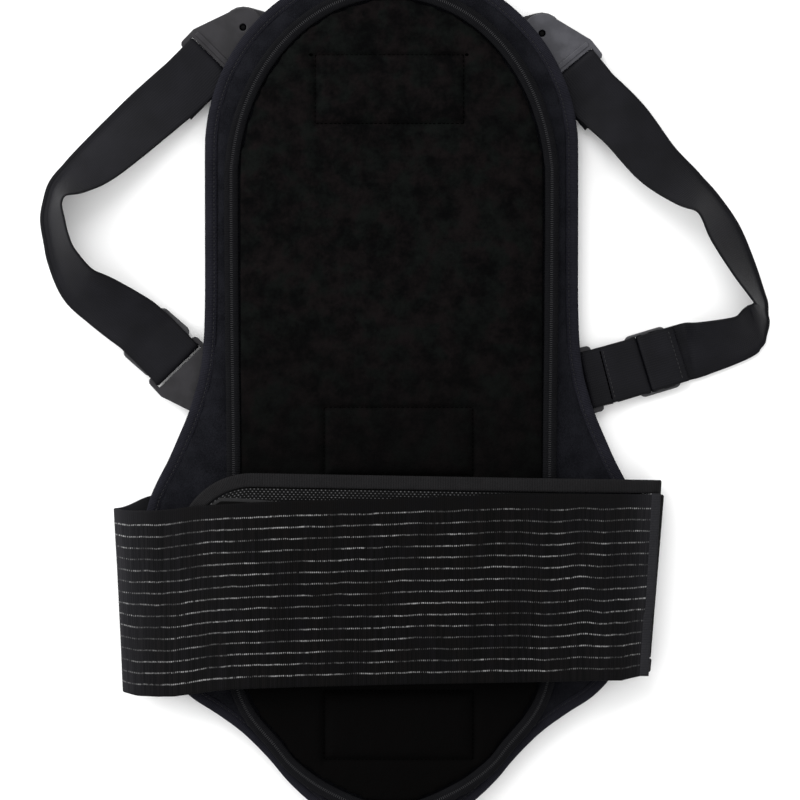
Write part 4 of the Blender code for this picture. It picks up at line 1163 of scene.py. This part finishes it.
def anchor_outline():
    wide = STRAP_WIDTH / 2 + SLIDE_GAP + ANCHOR_RIM - ANCHOR_CORNER
    bar_end = ANCHOR_SLOT / 2 + ANCHOR_BAR - ANCHOR_CORNER
    return outline_round([
        (0, -ANCHOR_REACH, ANCHOR_END_RADIUS),
        (-wide, -ANCHOR_SLOT, ANCHOR_CORNER),
        (wide, -ANCHOR_SLOT, ANCHOR_CORNER),
        (-wide * 0.99, bar_end, ANCHOR_CORNER),
        (wide * 0.99, bar_end, ANCHOR_CORNER),
    ], 48)


anchors = {name: anchor_place(name) for name in ANCHORS}


# Moulded strap anchor with its slot, its rivet hole and, on the upper ones, a raised lip
def make_anchor(name):
    anchor = anchors[name]
    near = ANCHORS[name]["near"]
    far = ANCHORS[name]["far"]
    slot = rounded_box(0, (near + far) / 2, STRAP_WIDTH + 0.0002, far - near, 0.0004, 4)
    hole = arc(0, -ANCHOR_REACH, RIVET_HOLE / 2, 0, 350, 35)
    outlines = [from_anchor(anchor, points) for points in (anchor_outline(), slot, hole)]
    mesh = flat_mesh("strap_anchor_" + name, outlines, ANCHOR_BASE, ANCHOR_TOP, 0.0006)
    if "upper" in name:
        place = -ANCHOR_SLOT / 2 - LIP_WIDTH * 0.7
        lip = rounded_box(0, place, STRAP_WIDTH + 2 * SLIDE_GAP, LIP_WIDTH, LIP_WIDTH * 0.4, 5)
        mesh = joined(mesh, flat_mesh("lip", [from_anchor(anchor, lip)], ANCHOR_TOP - 0.0012,
                                      ANCHOR_TOP + LIP_HEIGHT, 0.0007))
    # The upper right anchor takes the painted light copy of the plastic
    plastic = painted_lit_anchor_plastic if name == "upper_right" else anchor_plastic
    new_piece("strap_anchor_" + name + "_plate", mesh, plastic, ["strap_anchor_" + name])


# Rivet turned from its profile
def make_rivet(name):
    low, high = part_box("rivet_" + name)
    shank = RIVET_HOLE / 2 - 0.0003
    head = RIVET_HEAD / 2
    profile = [(0, high.z), (shank * 0.45, high.z), (shank * 0.85, high.z - 0.00015), (shank, high.z - 0.0005),
               (shank, low.z + 0.001), (head * 0.94, low.z + 0.001), (head, low.z + 0.0008),
               (head, low.z + 0.0002), (head * 0.94, low.z), (0, low.z)]
    body = bmesh.new()
    points = [body.verts.new((x, 0, z)) for x, z in profile]
    edges = [body.edges.new(pair) for pair in zip(points, points[1:])]
    bmesh.ops.spin(body, geom=points + edges, axis=(0, 0, 1), cent=(0, 0, 0), steps=32,
                   angle=math.radians(360), use_merge=True)
    bmesh.ops.remove_doubles(body, verts=body.verts, dist=1e-6)
    bmesh.ops.recalc_face_normals(body, faces=body.faces)
    spot = anchors[name]["rivet"]
    bmesh.ops.translate(body, vec=(spot.x, spot.y, 0), verts=body.verts)
    for face in body.faces:
        face.smooth = True
    mesh = bpy.data.meshes.new("rivet_" + name)
    body.to_mesh(mesh)
    body.free()
    new_piece("rivet_" + name + "_pin", mesh, rivet_metal, ["rivet_" + name])


for anchor_name in ANCHORS:
    make_anchor(anchor_name)
    make_rivet(anchor_name)


# A slider's own directions: its anchor's, turned about a point on the anchor's line
def slider_place(name):
    row = SLIDERS[name]
    anchor = anchors[row["anchor"]]
    middle = anchor["slot"] + anchor["out"] * row["along"] + anchor["across"] * row["beside"]
    rotation = Matrix.Rotation(math.radians(row["turn"]), 3, "Z")
    out = rotation @ anchor["out"]
    return {"out": out, "across": rotation @ anchor["across"], "slot": middle - out * row["along"]}


slider_places = {name: slider_place(name) for name in SLIDERS}


# Three-bar slider: its rounded frame with a near and a far opening
def make_slider(name):
    start = SLIDERS[name]["start"]
    opening = SLIDERS[name]["opening"]
    length = SLIDERS[name]["length"]
    near = start + SLIDER_BAR + SLIDER_NEAR_SLOT / 2
    far_slot = length - 3 * SLIDER_BAR - SLIDER_NEAR_SLOT
    far = start + 2 * SLIDER_BAR + SLIDER_NEAR_SLOT + far_slot / 2
    outlines = [
        rounded_box(0, start + length / 2, SLIDER_WIDTH, length, 0.0045, 8),
        rounded_box(0, near, opening, SLIDER_NEAR_SLOT, 0.0012, 4),
        rounded_box(0, far, opening, far_slot, 0.0012, 4),
    ]
    placed = [from_anchor(slider_places[name], outline) for outline in outlines]
    mesh = flat_mesh(name, placed, ANCHOR_BASE, ANCHOR_TOP, 0.0010, rounds=4)
    new_piece(name + "_frame", mesh, slider_plastic, [name])


for slider_name in SLIDERS:
    make_slider(slider_name)


# Stations of a strap on an anchor's line, from its side view. Each is a list: place (3), across (3),
# normal (3), bank, and width of the outer margin
def axis_stations(anchor, across, path, facing):
    stations = []
    side = 1 if across.cross(anchor["out"] * facing).z > 0 else -1
    for index, (along, height) in enumerate(path):
        before = path[max(index - 1, 0)]
        after = path[min(index + 1, len(path) - 1)]
        direction = anchor["out"] * (after[0] - before[0]) + Vector((0, 0, after[1] - before[1]))
        normal = across.cross(direction.normalized()) * side
        middle = anchor["slot"] + anchor["out"] * along + Vector((0, 0, height))
        stations.append([*middle, *across, *normal, 0.0, RIGHT_MARGIN])
    return stations


# Side view of a turn round a bar: in on one level and back on the other
def turn_path(along, side, first_level, second_level):
    down = 1 if second_level > first_level else -1
    path = []
    for x, z in arc(0, 0, TURN_RADIUS, 90, 0, 5):
        path.append((along + side * (TURN_RADIUS - x), first_level + down * (TURN_RADIUS - z)))
    for x, z in arc(0, 0, TURN_RADIUS, 0, -90, 5):
        path.append((along + side * (TURN_RADIUS - x), second_level - down * (TURN_RADIUS + z)))
    return path


# Stations of a shoulder strap between its anchors, through its table's rows
def free_stations(start, end, rows, reach, side, lead_in, lead_out, margin):
    line = end["slot"] - start["slot"]
    out = Vector((line.y, -line.x, 0)).normalized()
    if out.x * side < 0:
        out = -out
    points = []
    for row in [lead_in] + rows + [lead_out]:
        if "spot" in row:
            spot = row["spot"]
        else:
            spot = start["slot"] + line * row["along"] + out * (reach * row["out"])
        bank = math.radians(row["bank"])
        height = STRAP_LOWER_LEVEL + row["edge"] * (STRAP_UPPER_LEVEL - STRAP_LOWER_LEVEL)
        height += (STRAP_WIDTH / 2 - margin) * math.sin(bank)
        points.append((spot.x, spot.y, height, bank, math.radians(row.get("skew", 0))))
    path = smooth_through(points, 6)
    stations = []
    for index, (x, y, z, bank, skew) in enumerate(path):
        before = path[max(index - 1, 0)]
        after = path[min(index + 1, len(path) - 1)]
        heading = Vector((after[0] - before[0], after[1] - before[1], 0)).normalized()
        flat_across = Matrix.Rotation(-skew, 3, "Z") @ Vector((heading.y, -heading.x, 0)) * side
        across = flat_across * math.cos(bank) + Vector((0, 0, math.sin(bank)))
        normal = Vector((0, 0, math.cos(bank))) - flat_across * math.sin(bank)
        stations.append([x, y, z, *across, *normal, bank, margin])
    return stations


# Evenly spaced stations, softened between their neighbours
def strap_stations(stations):
    run = evenly(stations, 0.0010, place=3)
    for repeat in range(3):
        softened = [run[0]]
        for before, here, after in zip(run, run[1:], run[2:]):
            softened.append([(a + 2 * b + c) / 4 for a, b, c in zip(before, here, after)])
        run = softened + [run[-1]]
    return [(Vector(row[0:3]), Vector(row[3:6]).normalized(), Vector(row[6:9]).normalized(), *row[9:11])
            for row in run]


# A point of the webbing. Past the fold its outer margin turns back by the bank, so that it lies level
def strap_spot(station, beside, up):
    middle, across, normal, bank, margin = station
    fold = margin - STRAP_WIDTH / 2
    if beside < fold and bank > 0.01:
        past = fold - beside
        beside = fold - past * math.cos(bank) + up * math.sin(bank)
        up = up * math.cos(bank) + past * math.sin(bank)
    return middle + across * beside + normal * up


# Where a cut end is sewn on top, the webbing has a step that fades out behind it
def stepped(stations, seam):
    rows = []
    for first, second in zip(stations, stations[1:] + [None]):
        ahead = (first[0] - seam["spot"]).dot(seam["out"])
        upper = abs(first[2].z) > 0.9 and first[0].z > seam["spot"].z
        sewn = upper and ahead >= 0
        rows.append((first, LOOP_STEP * (1 - smoothstep(ahead, 0.003, 0.012)) if sewn else 0.0))
        if second and sewn and (second[0] - seam["spot"]).dot(seam["out"]) < 0:
            edge = first[0] - seam["out"] * ahead
            rows.append(((edge, *first[1:]), LOOP_STEP))
            rows.append(((edge - seam["out"] * 0.0001, *first[1:]), 0.0))
    return rows


# Webbing through its stations, with a sewn step where it has a seam
def make_strap(name, stations, seam=None):
    section, values = flat_section(STRAP_WIDTH, STRAP_THICKNESS, 18, 0.0010)
    rows = stepped(stations, seam) if seam else [(station, 0.0) for station in stations]
    rings = []
    for station, lift in rows:
        top = 1 if station[2].z > 0 else -1
        rings.append([strap_spot(station, beside, up + (lift * top if up * top > 0 else 0.0))
                      for beside, up in section])
    lengths = run_lengths([station[0] for station, lift in rows])
    new_piece(name + "_webbing", skin(name, rings, lengths, values), webbing, [name])


# The way across an anchor that points to the other anchor
def inner_across(anchor, other):
    across = anchor["across"]
    return across if across.dot(other["slot"] - anchor["slot"]) > 0 else -across


# Side view of a shoulder strap's upper end: sewn back below, round the anchor's bar and out on top
def upper_end_path():
    bar_end = ANCHOR_SLOT / 2 + ANCHOR_BAR
    close = STRAP_UPPER_LEVEL - STRAP_THICKNESS - SLIDE_GAP
    path = [(bar_end + SEWN_BACK_LENGTH, close), (bar_end + SEWN_BACK_LENGTH * 0.35, close),
            (bar_end, STRAP_LOWER_LEVEL)]
    path += turn_path(0, 1, STRAP_UPPER_LEVEL, STRAP_LOWER_LEVEL)[::-1]
    return path + [(bar_end, STRAP_UPPER_LEVEL)]


def left_strap_stations():
    upper = anchors["upper_left"]
    lower = anchors["lower_left"]
    slider_end = SLIDER_OFFSET_LEFT + SLIDER_LENGTH
    lead_in = {"spot": upper["slot"] + upper["out"] * (ANCHOR_BAR * 4), "bank": 0, "edge": 1.0}
    laid_down = lower["slot"] + lower["out"] * 0.0400 + lower["across"] * 0.0008
    lead_out = {"spot": laid_down, "bank": 6, "edge": 1.0}
    stations = axis_stations(upper, inner_across(upper, lower), upper_end_path(), 1)
    stations += free_stations(upper, lower, LEFT_STRAP, STRAP_REACH_LEFT, -1, lead_in, lead_out, LEFT_MARGIN)
    tail = [(0.028, STRAP_UPPER_LEVEL), (ANCHOR_SLOT / 2 + ANCHOR_BAR, STRAP_UPPER_LEVEL)]
    tail += turn_path(0.0018, 1, STRAP_UPPER_LEVEL, STRAP_LOWER_LEVEL)
    tail.append((slider_end - SLIDER_BAR, STRAP_LOWER_LEVEL))
    return strap_stations(stations + axis_stations(lower, inner_across(lower, upper), tail, -1))


def right_strap_stations():
    upper = anchors["upper_right"]
    lower = slider_places["slider_right"]
    slider_end = SLIDER_OFFSET_RIGHT + SLIDER_LENGTH
    lead_in = {"spot": upper["slot"] + upper["out"] * (ANCHOR_BAR * 4), "bank": 0, "edge": 1.0}
    lead_out = {"spot": lower["slot"] + lower["out"] * (slider_end + 2 * STITCHED_END), "bank": 0, "edge": 0.0}
    stations = axis_stations(upper, inner_across(upper, lower), upper_end_path(), 1)
    stations += free_stations(upper, lower, RIGHT_STRAP, STRAP_REACH_RIGHT, 1, lead_in, lead_out, RIGHT_MARGIN)
    turn_place = SLIDER_OFFSET_RIGHT + SLIDER_BAR + SLIDER_NEAR_SLOT - TURN_RADIUS - 0.0015
    resting = STRAP_LOWER_LEVEL + STRAP_THICKNESS + SLIDE_GAP
    tail = [(slider_end, STRAP_LOWER_LEVEL)]
    tail += turn_path(turn_place, 1, STRAP_LOWER_LEVEL, STRAP_UPPER_LEVEL)
    tail += [(slider_end + SLIDE_GAP, STRAP_UPPER_LEVEL),
             (slider_end + STITCHED_END, (STRAP_UPPER_LEVEL + resting) / 2)]
    return strap_stations(stations + axis_stations(lower, inner_across(lower, upper), tail, -1))


# The short webbing loop, from its seam round the slider's bar and back round the anchor's
def loop_stations():
    lower = anchors["lower_right"]
    slider = slider_places["slider_right"]
    far = SLIDER_OFFSET_RIGHT + SLIDER_BAR + TURN_RADIUS + 0.0014
    middle = SLIDER_OFFSET_RIGHT / 2
    out_path = [(middle + 0.0009, STRAP_LOWER_LEVEL)] + turn_path(far, -1, STRAP_LOWER_LEVEL, STRAP_UPPER_LEVEL)
    back_path = turn_path(0, 1, STRAP_UPPER_LEVEL, STRAP_LOWER_LEVEL) + [(middle - 0.0009, STRAP_LOWER_LEVEL)]
    stations = axis_stations(slider, inner_across(slider, anchors["upper_right"]), out_path, 1)
    stations += axis_stations(lower, inner_across(lower, anchors["upper_right"]), back_path, 1)
    return strap_stations(stations)


# A place on the lower right anchor's line, at a height
def loop_place(along, height):
    lower = anchors["lower_right"]
    return lower["slot"] + lower["out"] * along + Vector((0, 0, height))


right_stations = right_strap_stations()
short_stations = loop_stations()
loop_seam = {"spot": loop_place(LOOP_SEAM, ANCHOR_BASE), "out": anchors["lower_right"]["out"]}
make_strap("shoulder_strap_left", left_strap_stations())
make_strap("shoulder_strap_right", right_stations)
make_strap("anchor_strap_right", short_stations, loop_seam)


# A row of stitches across a strap's upper layer, at the station nearest to a place on the loop's line
def row_across(stations, along, lift, length):
    spot = loop_place(along, STRAP_UPPER_LEVEL)
    station = min(stations, key=lambda item: (item[0] - spot).length)
    top = 1 if station[2].z > 0 else -1
    stitches = []
    for number in range(-5, 6):
        beside = number * 0.0030
        middle = strap_spot(station, beside, (STRAP_THICKNESS / 2 + 0.00005 + lift) * top)
        stitches.append((middle, station[1], station[2] * top, length))
    return stitches


right_end = SLIDER_OFFSET_RIGHT + SLIDER_LENGTH
strap_rows = row_across(short_stations, LOOP_SEAM + 0.0018, LOOP_STEP, 0.0022)
strap_rows += row_across(right_stations, right_end + 0.0010, 0.0, 0.0022)
new_piece("strap_stitches", stitch_mesh("strap_stitches", strap_rows, 0.0005, 0.0005), strap_thread)
# Dark thread just before the sewn step: a seam, and also painted shadow of the step's edge
seam_and_shadow_rows = row_across(short_stations, LOOP_SEAM - 0.0006, 0.0, 0.0034)
new_piece("anchor_strap_seam_and_painted_shadow", stitch_mesh("anchor_strap_seam_and_painted_shadow", seam_and_shadow_rows, 0.0009, 0.0006), dark_thread)


# Height of the wing's middle over the panel
def crown_height(x):
    way = min(abs(x) / HIP_HALF, 1.0)
    for inner, outer in zip(BELT_CROWN, BELT_CROWN[1:]):
        if inner["way"] <= way <= outer["way"]:
            share = (way - inner["way"]) / (outer["way"] - inner["way"])
            smooth = share * share * (3 - 2 * share) * 0.25 + share * 0.75
            rise = inner["rise"] + (outer["rise"] - inner["rise"]) * smooth
            return BELT_SIDE_LEVEL + (BELT_CROWN_LEVEL - BELT_SIDE_LEVEL) * rise
    return BELT_SIDE_LEVEL


# Side view (x, z) of a belt over the panel and the pad
def crown_path(start, end, lift, steps):
    points = []
    for step in range(steps + 1):
        x = start + (end - start) * step / steps
        points.append((x, crown_height(x) + lift))
    return points


# Softens a path (x, z) between its neighbours
def softened_path(path, spacing, passes):
    run = evenly(path, spacing)
    for repeat in range(passes):
        inner = [[(a + 2 * b + c) / 4 for a, b, c in zip(before, here, after)]
                 for before, here, after in zip(run, run[1:], run[2:])]
        run = [run[0]] + inner + [run[-1]]
    return run


# Ways out of a side view (x, z)
def path_normals(path):
    normals = []
    for index in range(len(path)):
        before = path[max(index - 1, 0)]
        after = path[min(index + 1, len(path) - 1)]
        along = Vector((after[0] - before[0], 0, after[1] - before[1])).normalized()
        normals.append(Vector((-along.z, 0, along.x)))
    return normals


# The two folds at the hips and the elastic's end lean in towards the tail
def slanted(x, y):
    low_share = min(max((-0.062 - y) / ELASTIC_WIDTH, -0.1), 1.1)
    if x < 0:
        return x + LEFT_FOLD_LEAN * low_share * smoothstep(-x, 0.150, 0.176)
    leaned = x - RIGHT_FOLD_LEAN * low_share * smoothstep(x, 0.135, 0.172)
    tape_share = smoothstep(y, -0.0612, -0.0592)
    moved = 0.0010 - END_TAPE_NOTCH * tape_share - END_TAPE_LEAN * max(low_share, 0.0)
    return leaned + moved * smoothstep(x, 0.1760, 0.1800)


# Striped elastic, sewn under the left hip, folded round it and laid across the front
def make_elastic():
    lift = WING_TAPE_THICKNESS / 2 + SLIDE_GAP + ELASTIC_THICKNESS / 2
    front = crown_height(HIP_HALF) + lift
    back = PANEL_BASE - SLIDE_GAP - ELASTIC_THICKNESS / 2
    radius = (front - back) / 2
    fold_x = -HIP_HALF - LEFT_FOLD_OVERHANG
    path = [(-HIP_HALF + BELT_ROOT, back), (-HIP_HALF, back)]
    path += arc(fold_x, back + radius, radius, 270, 90, 16)
    path += crown_path(-HIP_HALF, ELASTIC_END, lift, 40)
    path = softened_path(path, 0.002, 3)
    normals = path_normals(path)
    section, values = flat_section(ELASTIC_WIDTH, ELASTIC_THICKNESS, 56, 0.0012)
    lengths = run_lengths([(x, 0, z) for x, z in path])
    rings = []
    for index, (x, z) in enumerate(path):
        upper = read_table(ELASTIC_EDGES, "x", x, "upper")
        lower = read_table(ELASTIC_EDGES, "x", x, "lower")
        turning = smoothstep(-x, -fold_x - 0.002, -fold_x + radius)
        if z < back + radius:
            turning = 1.0
            rise = 0.0085 * smoothstep(x, fold_x - radius, -HIP_HALF + 0.010)
            upper += rise
            lower += rise
        upper += 0.0012 * turning
        lower += 0.0012 * turning
        middle = (upper + lower) / 2
        ring = []
        for beside, up in section:
            share = beside / (ELASTIC_WIDTH / 2)
            ripple = 0.00035 * math.sin(lengths[index] * 95 + share * 2.0) * (1 - share * share * 0.5)
            y = middle + beside * (upper - lower) / ELASTIC_WIDTH
            inner = max(1 - abs(share) ** 5, 0.0)
            for row in ELASTIC_WAVES:
                y += inner * row["rise"] * math.exp(-((x - row["x"]) / row["reach"]) ** 2)
            y += inner * 0.0009 * noise.noise(Vector((x * 26, beside * 9, 3.1)))
            ring.append(Vector((slanted(x, y), y, z)) + normals[index] * (up + max(ripple, -0.0002)))
        rings.append(ring)
    piece = new_piece("elastic_belt_cloth", skin("elastic_belt", rings, lengths, values), elastic,
                      ["elastic_belt"])


make_elastic()


# Plain tape folded over the elastic's sewn end
def make_end_tape():
    section, values = flat_section(END_TAPE_WIDTH, ELASTIC_THICKNESS + 0.0009, 10, 0.0009)
    end_x = ELASTIC_END + 0.0010 - END_TAPE_WIDTH / 2
    lift = WING_TAPE_THICKNESS / 2 + SLIDE_GAP + ELASTIC_THICKNESS / 2
    level = crown_height(end_x) + lift + 0.0002
    slope = math.atan2(crown_height(end_x + 0.003) - crown_height(end_x - 0.003), 0.006)
    out = Vector((math.cos(slope), 0, math.sin(slope)))
    normal = Vector((-math.sin(slope), 0, math.cos(slope)))
    upper = read_table(ELASTIC_EDGES, "x", end_x, "upper") + 0.0005
    lower = read_table(ELASTIC_EDGES, "x", end_x, "lower") - 0.0005
    rings = []
    for step in range(61):
        y = upper + (lower - upper) * step / 60
        jog = 0.0008 * smoothstep(-y, 0.137, 0.139)
        middle = Vector((slanted(end_x, y) - jog, y, level))
        rings.append([middle + out * beside + normal * up for beside, up in section])
    lengths = run_lengths([ring[0] for ring in rings])
    new_piece("elastic_belt_end_tape", skin("elastic_belt_end_tape", rings, lengths, values), end_tape)


make_end_tape()


# Path of the net wing from its rounded tip, over the pad and round the right hip
def wing_path():
    front = crown_height(HIP_HALF)
    back = PANEL_BASE - SLIDE_GAP - WING_TAPE_THICKNESS / 2
    radius = (front - back) / 2
    path = crown_path(-WING_TIP, HIP_HALF, 0.0, 48)
    path += arc(HIP_HALF + RIGHT_FOLD_OVERHANG, back + radius, radius, 90, -90, 16)
    path += [(HIP_HALF, back), (HIP_HALF - BELT_ROOT, back)]
    return softened_path(path, 0.002, 2)


wing_run = wing_path()
wing_lengths = run_lengths([(x, 0, z) for x, z in wing_run])
wing_normals = path_normals(wing_run)


# A point of the wing: distance from its tip, place across it and height over its middle
def wing_spot(distance, beside, up):
    distance = min(max(distance, 0.0), wing_lengths[-1])
    index = 0
    while index < len(wing_run) - 2 and wing_lengths[index + 1] < distance:
        index += 1
    share = (distance - wing_lengths[index]) / (wing_lengths[index + 1] - wing_lengths[index])
    x, z = [a + (b - a) * share for a, b in zip(wing_run[index], wing_run[index + 1])]
    normal = wing_normals[index].lerp(wing_normals[index + 1], share).normalized()
    middle = WING_LEFT_Y + (WING_RIGHT_Y - WING_LEFT_Y) * distance / wing_lengths[-1]
    return Vector((slanted(x, middle + beside), middle + beside, z)) + normal * up


# Half width of a strip at a distance from its rounded tip
def rounded_half(distance, half_width, corner):
    if distance >= corner:
        return half_width
    across = corner - distance
    return half_width - corner + math.sqrt(max(corner * corner - across * across, 0.0))


# Net field inside the wing's tape
def make_net():
    distances = [NET_START + NET_CORNER * (1 - math.cos(math.radians(turned))) for turned in range(4, 90, 4)]
    distance = NET_START + NET_CORNER
    while distance < wing_lengths[-1]:
        distances.append(distance)
        distance += 0.0025
    distances.append(wing_lengths[-1])
    section, values = flat_section(2 * NET_HALF, WING_THICKNESS, 30, 0.0010)
    rings = []
    for distance in distances:
        narrowed = rounded_half(distance - NET_START, NET_HALF, NET_CORNER) / NET_HALF
        rings.append([wing_spot(distance, beside * narrowed, up) for beside, up in section])
    return new_piece("under_belt_net", skin("under_belt", rings, distances, values), net,
                     ["under_belt"])


# Tape along the wing's upper edge, round its tip and back along its lower edge
def make_wing_tape():
    radius = WING_CORNER - WING_TAPE_WIDTH / 2
    corner_y = WING_WIDTH / 2 - WING_CORNER
    edge = WING_WIDTH / 2 - WING_TAPE_WIDTH / 2
    route = [(wing_lengths[-1], edge), (WING_CORNER, edge)]
    route += arc(WING_CORNER, corner_y, radius, 90, 180, 24)[1:]
    route += arc(WING_CORNER, -corner_y, radius, 180, 270, 24)
    route += [(wing_lengths[-1], -edge)]
    route = evenly(route, 0.0025)
    section, values = flat_section(WING_TAPE_WIDTH, WING_TAPE_THICKNESS, 12, 0.0014)
    rings = []
    for index, (distance, beside) in enumerate(route):
        before = route[max(index - 1, 0)]
        after = route[min(index + 1, len(route) - 1)]
        along = Vector((after[0] - before[0], after[1] - before[1])).normalized()
        away = Vector((along.y, -along.x))
        rings.append([wing_spot(distance + away.x * offset, beside + away.y * offset, up)
                      for offset, up in section])
    lengths = run_lengths([(distance, beside, 0) for distance, beside in route])
    return new_piece("under_belt_tape", skin("under_belt_binding", rings, lengths, values), wing_tape,
                     ["under_belt_binding"])


# Fastener patch on the wing, a little narrower towards its inner end
def make_fastener():
    section, values = flat_section(2 * FASTENER_REACH, 0.0007, 40, 0.0004)
    distances = [FASTENER_START + FASTENER_LENGTH * step / 48 for step in range(49)]
    rings = []
    for distance in distances:
        reach = FASTENER_REACH - 0.0023 * smoothstep(distance, 0.037, 0.080)
        reach = min(reach, rounded_half(distance - NET_START, NET_HALF, NET_CORNER) - 0.0012)
        rings.append([wing_spot(distance, beside * reach / FASTENER_REACH, up + WING_THICKNESS / 2 + 0.0004)
                      for beside, up in section])
    return new_piece("under_belt_fastener_patch", skin("under_belt_patch", rings, distances, values),
                     patch_cloth)


# The net wing: its net field, with its tape and its fastener patch
def make_wing():
    field = make_net()
    tape = make_wing_tape()
    patch = make_fastener()


make_wing()


# White floor just under the shell
def make_floor():
    body = bmesh.new()
    bmesh.ops.create_grid(body, x_segments=4, y_segments=4, size=4.0)
    bmesh.ops.translate(body, vec=(0, 0, shell_low.z - 0.0002), verts=body.verts)
    mesh = bpy.data.meshes.new("floor")
    body.to_mesh(mesh)
    body.free()
    material = new_material("white_table", (0.93, 0.93, 0.93), 0.9, 0.1)
    soft = grain(material, object_place(material), 1.5, 2, 0.5)
    use(material, colour=blend_colours(material, soft, (0.925, 0.925, 0.925), (0.935, 0.935, 0.935)))
    floor = bpy.data.objects.new("floor", mesh)
    bpy.context.scene.collection.objects.link(floor)
    floor.data.materials.append(material)


def add_light(name, place, size, energy):
    light = bpy.data.lights.new(name, "AREA")
    light.shape = "DISK"
    light.size = size
    light.energy = energy
    lamp = bpy.data.objects.new(name, light)
    lamp.location = place
    lamp.rotation_euler = (-Vector(place)).to_track_quat("-Z", "Y").to_euler()
    bpy.context.scene.collection.objects.link(lamp)


def light_room():
    world = bpy.data.worlds.new("white_studio")
    world.use_nodes = True
    world.node_tree.nodes["Background"].inputs["Color"].default_value = (1.0, 1.0, 1.0, 1.0)
    world.node_tree.nodes["Background"].inputs["Strength"].default_value = 1.15
    bpy.context.scene.world = world
    add_light("side_light", (-1.9, 0.5, 0.75), 1.4, 42)
    add_light("top_light", (-0.5, 1.7, 1.9), 1.6, 26)
    add_light("fill_light", (1.9, 0.6, 1.1), 1.4, 4)
    bpy.context.scene.view_settings.view_transform = "Standard"


def place_camera():
    distance = 3.0
    level = 0.02
    width = 0.528
    camera = bpy.data.cameras.new("camera")
    camera.sensor_width = 36
    camera.lens = 36 * (distance - level) / width
    camera.clip_end = 50
    eye = bpy.data.objects.new("camera", camera)
    eye.location = (0.0056, 0.0020, distance)
    bpy.context.scene.collection.objects.link(eye)
    bpy.context.scene.camera = eye


make_floor()
light_room()
place_camera()
